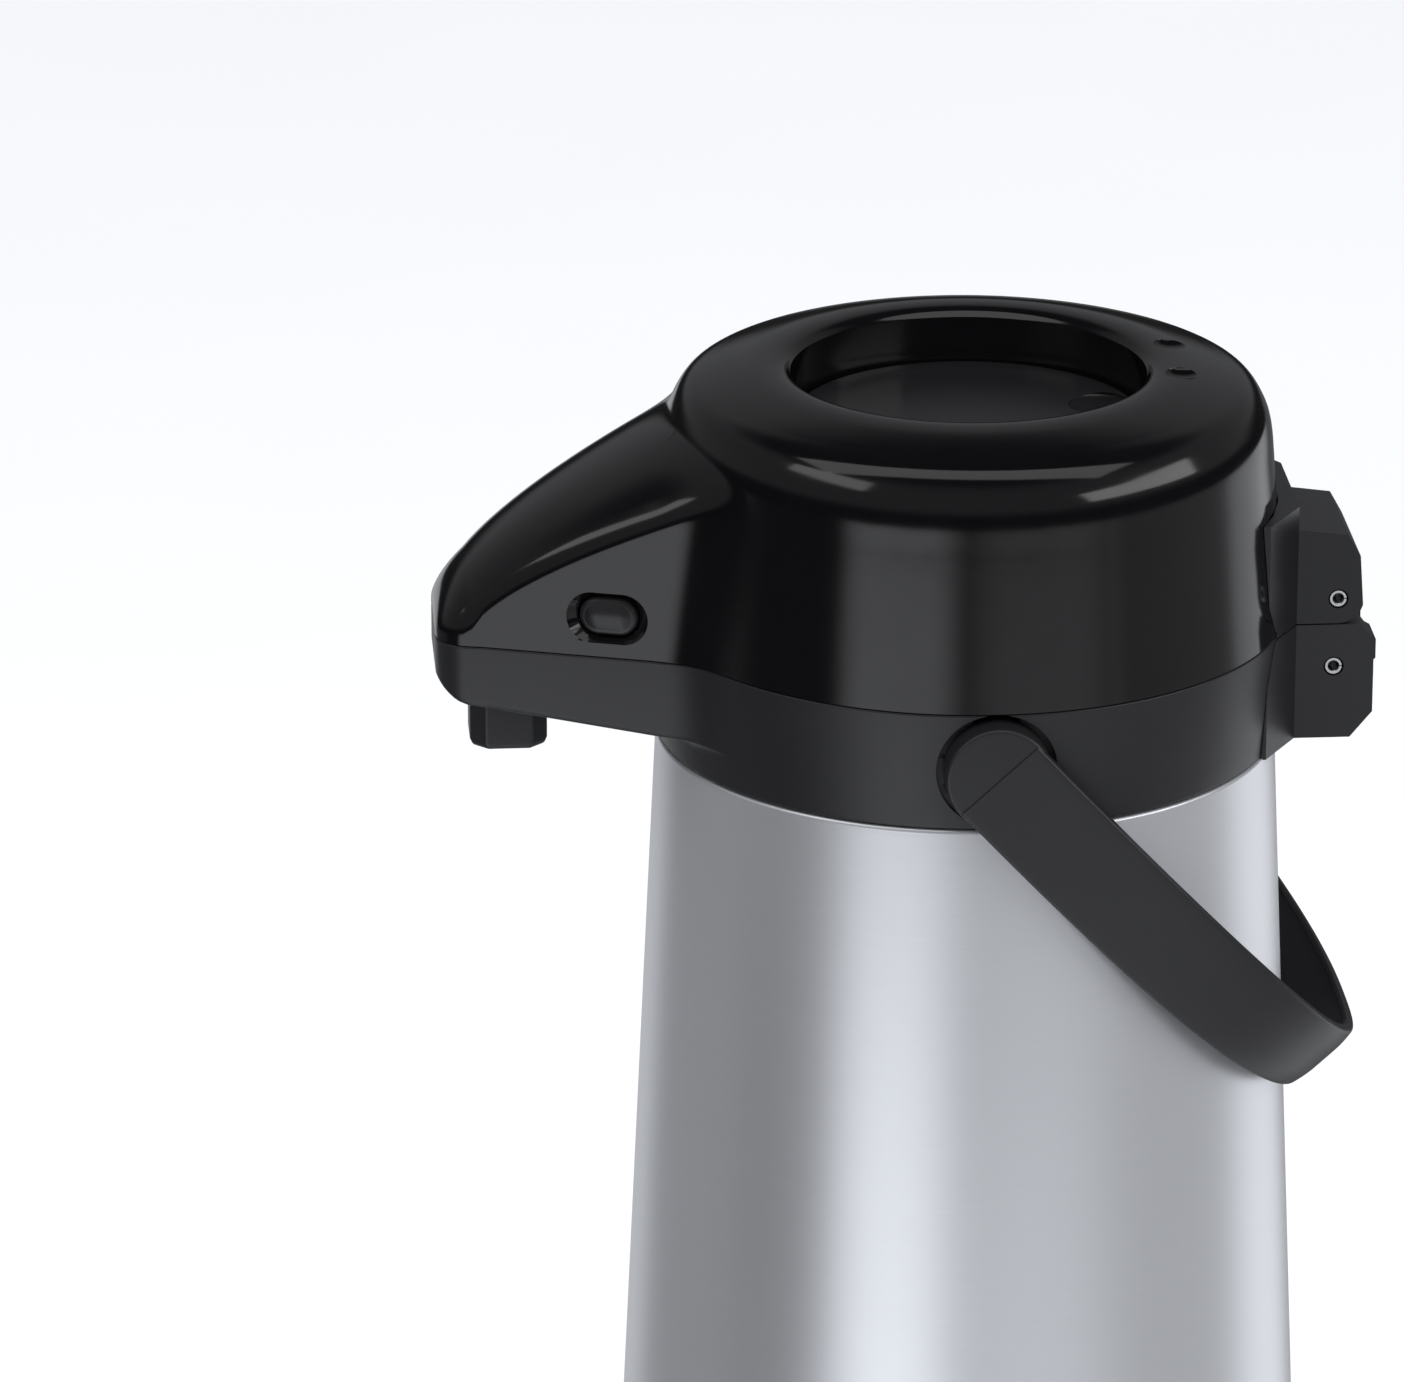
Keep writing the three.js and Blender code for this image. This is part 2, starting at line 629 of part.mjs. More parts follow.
function addLidBase() {
  const airR = 8;
  const rimR = wellR + plasticWall;
  const baseR = seamR - plasticWall - 2 * gap;
  let base = turned([
    [airR, lidBaseZ], [baseR, lidBaseZ], [baseR, lidBaseTopZ], [rimR, lidBaseTopZ],
    [rimR, lidBaseTopZ + 7], [rimR - 2, lidBaseTopZ + 7], [rimR - 2, lidBaseTopZ], [airR, lidBaseTopZ],
  ]);
  for (const turn of screwTurns) {
    const [x, y] = screwPlace(turn);
    const boss = disc(x, y, 4, lidBaseTopZ - 0.5, lidBaseTopZ + bossH);
    base = cut(join(base, boss), disc(x, y, screwR + gap, lidBaseZ - 1, lidBaseTopZ + 7));
    base = cut(base, disc(x, y, screwHeadR + gap, lidBaseZ - 1, lidBaseZ + screwHeadH + gap));
  }
  addPiece("lid_base", base, finishes.satinBlack);

  const gasket = ring(plugR - 6, plugR, headTopZ + gap, lidBaseZ - gap, innerSides);
  addPiece("lid_gasket", gasket, finishes.rubber);
}

function addLidScrews() {
  screwTurns.forEach((turn, i) => {
    const [x, y] = screwPlace(turn);
    const head = disc(x, y, screwHeadR, lidBaseZ, lidBaseZ + screwHeadH, 16);
    const shank = disc(x, y, screwR, lidBaseZ + screwHeadH - 0.2, lidBaseTopZ + bossH - 0.5);
    const slot = block(x - 2, x + 2, y - 0.4, y + 0.4, lidBaseZ - 1, lidBaseZ + 0.6);
    addPiece(`lid_screw_${i + 1}`, cut(join(head, shank), slot), finishes.wire);
  });
}

// ---- Pump --------------------------------------------------------------------------------
function addPump() {
  const low = lidBaseTopZ + gap;
  const high = plungerZ - gap;
  const fold = (high - low) / (2 * bellowsFolds);
  const wall = 1;
  const outside = [];
  for (let i = 0; i <= 2 * bellowsFolds; i++) {
    outside.push([i % 2 ? bellowsR : bellowsR - bellowsDepth, low + fold * i]);
  }
  const inside = outside.map(([r, z]) => [r - wall, z]).reverse();
  addPiece("bellows", turned([...outside, ...inside], innerSides), finishes.rubber);

  const spring = coil(springR, springWire, high - low, 3, 14);
  addPiece("pump_spring", solid(geometryOf(spring).translate(0, 0, low)), finishes.wire);

  const hubTop = buttonTopZ - plasticWall - gap;
  let plunger = turned([
    [0, plungerZ], [bellowsR + 1, plungerZ], [bellowsR + 1, plungerTopZ], [hubR, plungerTopZ],
    [hubR, hubTop], [hubR - plasticWall, hubTop], [hubR - plasticWall, plungerTopZ], [0, plungerTopZ],
  ], innerSides);
  const stemR = 2;
  const ventAt = 5.2;
  const through = (x, y, radius, sides) => disc(x, y, radius, plungerZ - 1, plungerTopZ + 1, sides);
  plunger = cut(plunger, through(0, 0, stemR + gap, smallSides));
  for (let i = 0; i < 4; i++) {
    const turn = (Math.PI / 2) * i;
    plunger = cut(plunger, through(ventAt * Math.cos(turn), ventAt * Math.sin(turn), 1.3, 8));
  }
  addPiece("plunger", plunger, finishes.whitePlastic);

  const valve = turned([
    [0, plungerZ - gap - 1.4], [8, plungerZ - gap - 0.8], [8, plungerZ - gap],
    [stemR, plungerZ - gap], [stemR, plungerTopZ + gap], [0, plungerTopZ + gap],
  ], smallSides);
  addPiece("intake_valve", valve, finishes.rubber);

  const skirtR = wellR - turnGap;
  const dishZ = buttonTopZ - 0.8;
  const underZ = buttonTopZ - plasticWall;
  const skirtZ = buttonTopZ - buttonSkirtH;
  const socketR = hubR + gap;
  const socketWall = 2.3;
  const socketZ = underZ - 10;
  let button = turned([
    [0, dishZ], [skirtR - 8, dishZ], [skirtR - 5, buttonTopZ], [skirtR - 1.5, buttonTopZ],
    [skirtR, buttonTopZ - 1.5], [skirtR, skirtZ], [skirtR - 2, skirtZ], [skirtR - 2, underZ],
    [socketR + socketWall, underZ], [socketR + socketWall, socketZ], [socketR, socketZ],
    [socketR, underZ], [0, underZ],
  ]);
  const turn = Math.PI / 2 + THREE.MathUtils.degToRad(lockHalfTurn);
  const [scoopX, scoopY] = [scoopAt * Math.cos(turn), scoopAt * Math.sin(turn)];
  button = cut(button, disc(scoopX, scoopY, scoopR, buttonTopZ - 1.6, buttonTopZ + 1));
  addPiece("push_button", button, finishes.satinBlack);
}

// ---- Latches -----------------------------------------------------------------------------
function addLatches() {
  const armBack = -latchDepth;
  const hookTop = seamZ - catchDrop - 1 - turnGap - latchZ;
  const hookBottom = hookTop - latchArmH;
  const armPiece = (front, top) => block(armBack, front, -latchArmHalf, latchArmHalf, hookBottom, top);
  const button = acrossOblong(latchLong, latchTall, armBack, -0.2);
  const arm = armPiece(armBack + latchArmH, 3);
  const hook = armPiece(-plasticWall - 1, hookTop);
  const latch = onSpoutWall(join(button, arm, hook), latchY, latchZ);
  addPiece("latch_right", latch, finishes.satinBlack);
  addPiece("latch_left", mirrored(latch), finishes.satinBlack);

  // The spring lies square to the wall, so its far end reaches the rib a little off centre.
  const toRib = (spoutHalf(latchY, 0) - latchRibHalf) / Math.cos(wallAngle);
  const upright = coil(2.4, 0.5, toRib - latchDepth - 2.6, 3, 8);
  const lying = solid(geometryOf(upright).rotateY(-Math.PI / 2).translate(-latchDepth - gap, 0, 0));
  const spring = onSpoutWall(lying, latchY, latchZ);
  addPiece("latch_spring_right", spring, finishes.wire);
  addPiece("latch_spring_left", mirrored(spring), finishes.wire);
}

// ---- Rear hinge --------------------------------------------------------------------------
// A saddle that flares out to both sides of a block, to be trimmed by what it sits on.
function saddle(low, high) {
  const endY = Math.sqrt(seamR ** 2 - padHalf ** 2) - 0.6;
  const middleY = seamR + 1.4;
  const plan = outline([
    [-padHalf, hingeBedY], [padHalf, hingeBedY], [padHalf, endY], [hingeHalf, middleY],
    [-hingeHalf, middleY], [-padHalf, endY],
  ]);
  return raised(plan, low, high);
}

function addHinge() {
  // Upper block, carried by the lid.
  const side = new THREE.Shape();
  side.moveTo(hingeBedY, splitZ);
  side.lineTo(upperPin.y, splitZ);
  side.absarc(upperPin.y, upperPin.z, hingeSplitR, -Math.PI / 2, -0.26, false);
  side.lineTo(upperBackY - 0.8, upperPin.z + 10);
  side.lineTo(upperPin.y + 2, upperPin.z + 15);
  side.lineTo(hingeBedY, upperPin.z + 18);
  const slotTop = upperPin.z + knuckleR + turnGap;
  const slotFront = upperPin.y - knuckleR - turnGap;
  const slotHalf = knuckleHalf + turnGap;
  const slot = block(-slotHalf, slotHalf, slotFront, upperBackY + 9, splitZ - 9, slotTop);
  let upper = join(acrossX(side, -hingeHalf, hingeHalf), saddle(splitZ, upperPin.z + 22));
  upper = cut(upper, domeSolid(gap), ring(0, seamR + gap, splitZ - 1, seamZ + 1), slot);
  upper = cut(upper, bar(upperPin.y, upperPin.z, pinR + gap, -hingeHalf - 1, hingeHalf + 1));
  addPiece("upper_hinge_block", upper, finishes.satinBlack);

  // Lower block, carried by the collar.
  const top = splitZ - gap;
  const rear = seamR + 19;
  const low = collarBottomZ - 0.7;
  const lowerSide = outline([
    [hingeBedY, low], [rear - 5, low], [rear, low + 6], [rear, top - 4], [rear - 3, top],
    [hingeBedY, top],
  ]);
  const lowerSlotFront = lowerPin.y - knuckleR - turnGap;
  const lowerSlotZ = lowerPin.z - 10;
  const lowerSlot = block(-slotHalf, slotHalf, lowerSlotFront, rear + 1, lowerSlotZ, top + 1);
  const trim = turned([
    [0, low - 1], [collarBottomR + gap + 0.6, low - 1], [collarBottomR + gap, collarBottomZ],
    [collarR(seamZ) + gap, seamZ], [0, seamZ],
  ]);
  let lower = join(acrossX(lowerSide, -hingeHalf, hingeHalf), saddle(low, top));
  lower = cut(lower, trim, lowerSlot);
  lower = cut(lower, bar(lowerPin.y, lowerPin.z, pinR + gap, -hingeHalf - 1, hingeHalf + 1));
  addPiece("lower_hinge_block", lower, finishes.mattBlack);

  // Link: a knuckle on the upper pin with a blade down to the lower pin.
  const blade = new THREE.Shape();
  blade.absarc(lowerPin.y, lowerPin.z, knuckleR - 1, Math.PI, 2 * Math.PI, false);
  blade.absarc(upperPin.y, upperPin.z, knuckleR - 1, 0, Math.PI, false);
  let link = join(
    acrossX(blade, -bladeHalf, bladeHalf),
    bar(upperPin.y, upperPin.z, knuckleR, -knuckleHalf, knuckleHalf, 24),
  );
  for (const pin of [upperPin, lowerPin]) {
    link = cut(link, bar(pin.y, pin.z, pinR + gap, -hingeHalf, hingeHalf));
  }
  addPiece("hinge_link", link, finishes.satinBlack);

  // Release lever: two cheeks on the lower pin and a thumb pad at the rear.
  const padBack = seamR + 21;
  const leverSide = new THREE.Shape();
  leverSide.absarc(lowerPin.y, lowerPin.z, knuckleR - 1, Math.PI / 2, (3 * Math.PI) / 2, false);
  leverSide.lineTo(padBack - 3, lowerPin.z - 4.5);
  leverSide.lineTo(padBack, lowerPin.z - 2);
  leverSide.lineTo(padBack, lowerPin.z + 2.5);
  leverSide.lineTo(padBack - 3.5, lowerPin.z + 4.5);
  const bladeSide = bladeHalf + gap;
  const bladeRoom = block(-bladeSide, bladeSide, seamR, lowerPin.y + knuckleR + gap, low, seamZ);
  let lever = acrossX(leverSide, -knuckleHalf, knuckleHalf);
  lever = cut(lever, bladeRoom, bar(lowerPin.y, lowerPin.z, pinR + gap, -hingeHalf, hingeHalf));
  addPiece("release_lever", lever, finishes.satinBlack);

  const springLow = lowerSlotZ + gap;
  const springHigh = lowerPin.z - 4.5 - gap;
  const spring = coil(1.6, 0.4, springHigh - springLow, 3, 8);
  const placed = solid(geometryOf(spring).translate(0, lowerPin.y + 6.5, springLow));
  addPiece("lever_spring", placed, finishes.wire);

  // Slotted spring pins.
  const pinSection = (pin) => {
    const open = 0.3;
    const shape = new THREE.Shape();
    shape.absarc(pin.y, pin.z, pinR, open, 2 * Math.PI - open, false);
    shape.absarc(pin.y, pin.z, pinBore, 2 * Math.PI - open, open, true);
    return shape;
  };
  const end = hingeHalf - 0.2;
  addPiece("upper_hinge_pin", acrossX(pinSection(upperPin), -end, end), finishes.wire);
  addPiece("lower_hinge_pin", acrossX(pinSection(lowerPin), -end, end), finishes.wire);
}

// ---- Carrying bail -----------------------------------------------------------------------

// Outer line of the bail in its own plane, from one end (0) over the loop (0.5) to the other (1).
function bailLine(share) {
  const turn = Math.PI * share;
  const power = 2 / bailBow;
  const x = bailHalf * Math.sign(Math.cos(turn)) * Math.abs(Math.cos(turn)) ** power;
  const y = bailReach * Math.abs(Math.sin(turn)) ** power;
  return new THREE.Vector2(x, y);
}

function addBail() {
  // A channel section, open towards the inside: x is the depth inwards and y the width.
  const lipInside = strapHalf - strapLip;
  const section = outline([
    [0, -strapHalf], [strapH, -strapHalf], [strapH, -lipInside], [strapWeb, -lipInside],
    [strapWeb, lipInside], [strapH, lipInside], [strapH, strapHalf], [0, strapHalf],
  ]);
  const steps = 48;
  const strap = new THREE.ExtrudeGeometry(section, { depth: 1, steps, bevelEnabled: false });
  const place = strap.attributes.position;
  for (let i = 0; i < place.count; i++) {
    const share = place.getZ(i);
    const here = bailLine(share);
    const ahead = bailLine(Math.min(1, share + 0.002));
    const behind = bailLine(Math.max(0, share - 0.002));
    const along = ahead.sub(behind).normalize();
    const depth = place.getX(i);
    const width = 1 - (strapPinch / strapHalf) * Math.sin(Math.PI * share) ** 3;
    place.setXYZ(i, here.x - along.y * depth, here.y + along.x * depth, place.getY(i) * width);
  }

  const eye = (side) => {
    const round = (radius, from, to, sides) => {
      const drum = new THREE.CylinderGeometry(radius, radius, to - from, sides).rotateZ(Math.PI / 2);
      return solid(drum.translate((side * (from + to)) / 2, 0, 0));
    };
    const peg = round(pegR, socketX - pegLength, socketX + 2, smallSides);
    return join(round(bailEyeR, socketX + turnGap, bailHalf, 24), peg);
  };
  const bail = addPiece("bail_handle", join(solid(strap), eye(-1), eye(1)), finishes.mattBlack);
  bail.position.z = bailPivotZ;
  bail.rotation.x = -bailAngle;
}

addBase();
addShell();
addFlask();
addCollar();
addCoffeePath();
addLidCover();
addLidBase();
addLidScrews();
addPump();
addLatches();
addHinge();
addBail();

export default airpot;
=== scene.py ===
"""Thermal coffee airpot: a steel vacuum flask with a hinged pump lid, a pouring spout and a bail.

The pieces are surfaces worked out in millimetres from the sizes below and put into meshes in
metres. +Z is up, the spout points to -Y and the lid's hinge is at +Y.
"""
import math

import bmesh
import bpy
import numpy as np
from mathutils import Matrix, Vector


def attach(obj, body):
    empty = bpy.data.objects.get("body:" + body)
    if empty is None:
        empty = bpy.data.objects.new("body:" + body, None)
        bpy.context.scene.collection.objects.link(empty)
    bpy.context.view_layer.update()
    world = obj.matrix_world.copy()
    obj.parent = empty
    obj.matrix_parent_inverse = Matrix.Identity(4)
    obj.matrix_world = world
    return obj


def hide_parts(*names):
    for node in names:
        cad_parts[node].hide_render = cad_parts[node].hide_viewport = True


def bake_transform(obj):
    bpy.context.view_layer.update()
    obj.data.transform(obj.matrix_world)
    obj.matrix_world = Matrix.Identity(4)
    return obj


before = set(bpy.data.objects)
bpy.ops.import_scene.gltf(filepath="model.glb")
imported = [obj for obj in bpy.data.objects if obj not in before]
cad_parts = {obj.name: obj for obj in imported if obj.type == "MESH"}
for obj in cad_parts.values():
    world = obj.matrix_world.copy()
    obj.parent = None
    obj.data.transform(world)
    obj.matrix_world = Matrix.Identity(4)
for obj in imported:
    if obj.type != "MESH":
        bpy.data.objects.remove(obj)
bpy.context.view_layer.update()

# ---- Sizes, in millimetres -----------------------------------------------------------------
MM = 0.001
SEAM_Z = 311  # the plane where the lid meets the collar
SEAM_R = 71.5
LID_TOP_Z = 368.5
COLLAR_BOTTOM_Z = 283.7
COLLAR_BOTTOM_R = 69.9
BODY_TAPER = 0.0468  # the shell widens by this much per millimetre downwards
SHELL_LOW_Z = 15
BASE_R = 82.5
CAP_R = 66
PAD_R = 58
GAP = 0.3  # between pieces that touch
WALL = 2.4  # plastic walls
WEB_BOTTOM_Z, WEB_TOP_Z = 295.5, 298  # the floor inside the collar
MOUTH_R = 30.5

SPOUT_TIP_Y = -120
SPOUT_ROOT_Y = -57.6
SPOUT_ROOT_HALF = 36.6
SPOUT_SLOPE = 0.318  # half width lost per millimetre towards the tip
NOSE_R = 9
PANEL_TIP_H = 1.2  # height of the spout's flat sides at the tip
PANEL_LIMIT_Z = 345  # the sides' upper edge stays below this
SIDE_ANGLE = math.radians(33)  # the flat sides lie within this angle of the front
FADE_ANGLES = math.radians(62), math.radians(42)  # where the spout's crown runs out
SIDE_FILLET = 9  # width of the hollow between spout and lid
WALL_ANGLE = math.atan(SPOUT_SLOPE)

WELL_R = 39.8
WELL_BOTTOM_Z = 322.2
BUTTON_TOP_Z = 356.5
BUTTON_SKIRT = 21
HUB_R = 12.2
LID_BASE_TOP_Z = 313.8
PLUNGER_Z = 330.2
PUMP_LOW, PUMP_HIGH = LID_BASE_TOP_Z + GAP, PLUNGER_Z - GAP  # room for bellows and spring
BELLOWS_R = 36
LATCH_Y = -82.6
LATCH_Z = 320
LATCH_HOLE_LONG, LATCH_HOLE_TALL = 14.2, 9.6
LATCH_BACK = -9  # the back of the latch's cap, from the spout's wall
LATCH_SPRING_H = 12.17
LEVER_SPRING_H = 4.9
LEVER_SPRING_FOOT = 0, 88, 290.3
MARK_TURN = math.radians(90 + 13)  # direction of the open mark and of the button's scoop

UPPER_PIN = 82.2, 316  # y and z
LOWER_PIN = 81.5, 300
PIN_R = 2
PIN_HALF = 15.3

BAIL_PIVOT_Z = 297.5
BAIL_REST = math.radians(47.5)  # below the horizontal, towards the rear
BAIL_HALF = 77
BAIL_REACH = 122.6
STRAP_HALF = 11.4
STRAP_PINCH = 2.6
STRAP_H = 3.2
STRAP_BULGE = 0.7
EYE_R = 11.7
PEG_R = 5
SOCKET_X = 68.1

AROUND = 240  # steps round a turned piece
ROUND_COLUMNS = 360  # columns round the lid and the collar
FARTHEST = 130.0  # no outline lies farther from the axis


def body_radius(z):
    """Radius of the shell's straight taper at height z."""
    return COLLAR_BOTTOM_R + BODY_TAPER * (COLLAR_BOTTOM_Z - z)


def collar_radius(z):
    """Radius of the collar's straight taper at height z."""
    share = (z - COLLAR_BOTTOM_Z) / (SEAM_Z - COLLAR_BOTTOM_Z)
    return COLLAR_BOTTOM_R + (SEAM_R - COLLAR_BOTTOM_R) * share


# ---- Surfaces ------------------------------------------------------------------------------
def put_mesh(name, points, faces):
    """A mesh object from an array of points in millimetres and a list of faces."""
    mesh = bpy.data.meshes.new(name)
    mesh.from_pydata((points.reshape(-1, 3) * MM).tolist(), [], faces)
    piece = bpy.data.objects.new(name, mesh)
    bpy.context.scene.collection.objects.link(piece)
    return piece


def tidy_mesh(piece, sharp_from=35):
    """Merges doubles, drops empty faces, turns normals out and shades by angle."""
    mesh = piece.data
    work = bmesh.new()
    work.from_mesh(mesh)
    bmesh.ops.remove_doubles(work, verts=work.verts, dist=2e-6)
    bmesh.ops.dissolve_degenerate(work, dist=1e-6, edges=work.edges)
    bmesh.ops.recalc_face_normals(work, faces=work.faces)
    work.to_mesh(mesh)
    work.free()
    mesh.shade_smooth()
    mesh.set_sharp_from_angle(angle=math.radians(sharp_from))
    return piece


def closed_grid(name, points, ends=False):
    """A surface through points[i, j]: rows i and columns j both close on themselves, or with
    ends=True the rows run from a first to a last loop, each closed by its own middle point."""
    rows, columns = points.shape[:2]
    i, j = np.meshgrid(np.arange(rows - ends), np.arange(columns), indexing="ij")
    down = (i + 1) % rows
    right = (j + 1) % columns
    corners = [i * columns + j, down * columns + j, down * columns + right, i * columns + right]
    faces = np.stack(corners, -1).reshape(-1, 4).tolist()
    if not ends:
        return put_mesh(name, points, faces)
    flat = points.reshape(-1, 3)
    middles = np.stack([points[0].mean(0), points[-1].mean(0)])
    k = np.arange(columns)
    first = np.stack([k, (k + 1) % columns, np.full(columns, len(flat))], -1)
    last = np.stack([k, (k + 1) % columns, np.full(columns, len(flat) + 1)], -1)
    last[:, :2] += (rows - 1) * columns
    return put_mesh(name, np.vstack([flat, middles]), faces + first.tolist() + last.tolist())


def rounded(corners, reach, steps=6):
    """Closed lines with rounded corners. corners is (..., m, 2) and reach the distance from each corner
    at which its curve starts. Each curve is the quadratic (1-t)^2 A + 2t(1-t) C + t^2 B."""
    corners = np.asarray(corners, float)
    reach = np.broadcast_to(np.asarray(reach, float), corners.shape[:-1])
    before = np.roll(corners, 1, -2) - corners
    after = np.roll(corners, -1, -2) - corners
    long_before = np.maximum(np.linalg.norm(before, axis=-1), 1e-9)
    long_after = np.maximum(np.linalg.norm(after, axis=-1), 1e-9)
    back = np.minimum(reach, long_before / 2)
    ahead = np.minimum(reach, long_after / 2)
    start = corners + before * (back / long_before)[..., None]
    end = corners + after * (ahead / long_after)[..., None]
    t = np.linspace(0, 1, steps)[:, None]
    bent = [(1 - t) ** 2 * a + 2 * t * (1 - t) * c + t * t * b for a, c, b in zip(
        np.moveaxis(start, -2, 0)[..., None, :],
        np.moveaxis(corners, -2, 0)[..., None, :],
        np.moveaxis(end, -2, 0)[..., None, :],
    )]
    return np.concatenate(bent, -2)


def smooth_through(points, steps=10):
    """A Catmull-Rom curve through the points, with the given steps between neighbours."""
    p = np.asarray(points, float)
    p = np.vstack([2 * p[0] - p[1], p, 2 * p[-1] - p[-2]])
    t = np.linspace(0, 1, steps, endpoint=False)[:, None]
    spans = []
    for a, b, c, d in zip(p[:-3], p[1:-2], p[2:-1], p[3:]):
        spans.append(0.5 * (2 * b + (c - a) * t + (2 * a - 5 * b + 4 * c - d) * t**2
                            + (3 * b - a - 3 * c + d) * t**3))
    return np.vstack([*spans, p[-2:-1]])


def around_axis(profile, sides=AROUND):
    """The profile's (radius, z) points turned about Z: x = r cos a, y = r sin a."""
    turn = np.linspace(0, 2 * math.pi, sides, endpoint=False)[:, None]
    r, z = profile[:, 0], profile[:, 1]
    return np.stack([r * np.cos(turn), r * np.sin(turn), np.broadcast_to(z, (sides, len(z)))], -1)


def turned(name, corners, reach=0.6, sides=AROUND, steps=6):
    """A turned piece: a closed line of (radius, z) corners, rounded by reach, about Z."""
    return tidy_mesh(closed_grid(name, around_axis(rounded(corners, reach, steps), sides)))


def oblong_bar(long, tall, low, high, edge=0.0, top=0.0, steps=12):
    """A bar along X with a stadium section in Y and Z, its outer end rounded by edge.
    Rows go from x = low to x = high; with top, the outer face is crowned by that much."""
    turn = np.linspace(0, 2 * math.pi, 8 * steps, endpoint=False)
    half = (long - tall) / 2
    shares = np.linspace(0, 1, steps)
    round_in = edge * (1 - np.cos(shares * math.pi / 2))
    round_x = high - edge + edge * np.sin(shares * math.pi / 2)
    insets = np.concatenate([[0], round_in, np.linspace(edge, tall / 2 - 0.05, steps)[1:]])
    places = np.concatenate([[low], round_x, high + top * (1 - (1 - shares[1:]) ** 2)])
    radius = (tall / 2 - insets)[:, None]
    y = radius * np.cos(turn) + np.sign(np.cos(turn)) * half
    z = radius * np.sin(turn)
    x = np.broadcast_to(places[:, None], y.shape)
    return np.stack([x, y, z], -1)


def moved(points, matrix):
    """Points carried by a 4 x 4 matrix in millimetres."""
    m = np.array(matrix)
    return points @ m[:3, :3].T + m[:3, 3]


def spout_wall_frame(side):
    """The frame of a spout wall at the latch: x outwards, y along the wall, z up."""
    half = SPOUT_ROOT_HALF - SPOUT_SLOPE * (SPOUT_ROOT_Y - LATCH_Y)
    place = Matrix.Translation((half, LATCH_Y, LATCH_Z)) @ Matrix.Rotation(-WALL_ANGLE, 4, "Z")
    return Matrix.Diagonal((side, 1, 1, 1)) @ place


def carved(piece, *cutters, gone=()):
    """The piece with the cutters taken out of it, and the cutters removed."""
    for cutter in cutters:
        cut = piece.modifiers.new("cut", "BOOLEAN")
        cut.operation = "DIFFERENCE"
        cut.solver = "EXACT"
        cut.object = cutter
    bpy.context.view_layer.update()
    done = bpy.data.meshes.new_from_object(piece.evaluated_get(bpy.context.evaluated_depsgraph_get()))
    piece.modifiers.clear()
    piece.data = done
    for cutter in (*cutters, *gone):
        bpy.data.objects.remove(cutter)
    done.shade_smooth()
    done.set_sharp_from_angle(angle=math.radians(30))
    return piece


def joined(piece, *others):
    """One object from several, joined by union, and the others removed."""
    for other in others:
        add = piece.modifiers.new("join", "BOOLEAN")
        add.operation = "UNION"
        add.solver = "EXACT"
        add.object = other
    return carved(piece, gone=others)


def softened(node, width):
    """A copy of a CAD node with flat faces joined up and its sharp edges rounded by width."""
    piece = bpy.data.objects.new(node + "_fine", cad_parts[node].data.copy())
    bpy.context.scene.collection.objects.link(piece)
    work = bmesh.new()
    work.from_mesh(piece.data)
    bmesh.ops.remove_doubles(work, verts=work.verts, dist=1e-5)
    bmesh.ops.dissolve_limit(
        work, angle_limit=math.radians(0.8), verts=work.verts, edges=work.edges)
    work.to_mesh(piece.data)
    work.free()
    piece.data.shade_smooth()
    bevel = piece.modifiers.new("edges", "BEVEL")
    bevel.width = width * MM
    bevel.segments = 2
    bevel.limit_method = "ANGLE"
    bevel.angle_limit = math.radians(32)
    even = piece.modifiers.new("even", "WEIGHTED_NORMAL")
    even.keep_sharp = True
    return piece


def settle(piece, finish, slot, body, *nodes):
    """Gives a finished piece its finish and its body, and hides the CAD nodes it stands for. The slot
    is not used.
    """
    piece.data.materials.clear()
    piece.data.materials.append(finish)
    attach(piece, body)
    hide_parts(*nodes)


# ---- Spout and lid outline -----------------------------------------------------------------
def spout_half(y, inset=0.0):
    """Half width of the spout at y, with rounded corners at the nose."""
    corner_y = SPOUT_TIP_Y + NOSE_R
    straight = SPOUT_ROOT_HALF - SPOUT_SLOPE * (SPOUT_ROOT_Y - np.maximum(y, corner_y)) - inset
    into = np.maximum(0, corner_y - y)
    radius = NOSE_R - inset
    return straight - radius + np.sqrt(np.maximum(0, radius**2 - into**2))


def spout_share(y):
    """0 at the spout's tip and 1 where it joins the lid."""
    return np.maximum(0, (y - SPOUT_TIP_Y) / (SPOUT_ROOT_Y - SPOUT_TIP_Y))


def ridge_z(y):
    """Height of the spout's middle line."""
    return SEAM_Z + 2.5 + 47.5 * spout_share(y) ** 0.62


def panel_top_z(y):
    """Height of the upper edge of the spout's flat sides."""
    return SEAM_Z + PANEL_TIP_H + 37 * np.maximum(0, spout_share(y) - 0.12) ** 0.65


def spout_floor_z(y):
    """Height of the spout's underside, turned up at the nose."""
    nose = 3.5 * np.maximum(0, 1 - (y - SPOUT_TIP_Y) / 6) ** 2
    return SEAM_Z - 13.5 + nose - 5.9 * np.minimum(1, spout_share(y))


def outermost(inside, high):
    """Bisects each element for the largest radius at which inside(radius) still holds."""
    low = np.zeros(high.shape)
    for _ in range(40):
        middle = (low + high) / 2
        held = inside(middle)
        low = np.where(held, middle, low)
        high = np.where(held, high, middle)
    return low


def wall_radius(phi, inset=0.0):
    """Distance from the axis to the spout's wall, in direction phi from -Y."""
    side, front = np.abs(np.sin(phi)), np.cos(phi)

    def inside(r):
        y = -r * front
        return (y >= SPOUT_TIP_Y + inset) & (r * side <= spout_half(y, inset)) & (front > 0)

    return outermost(inside, np.full(phi.shape, FARTHEST))


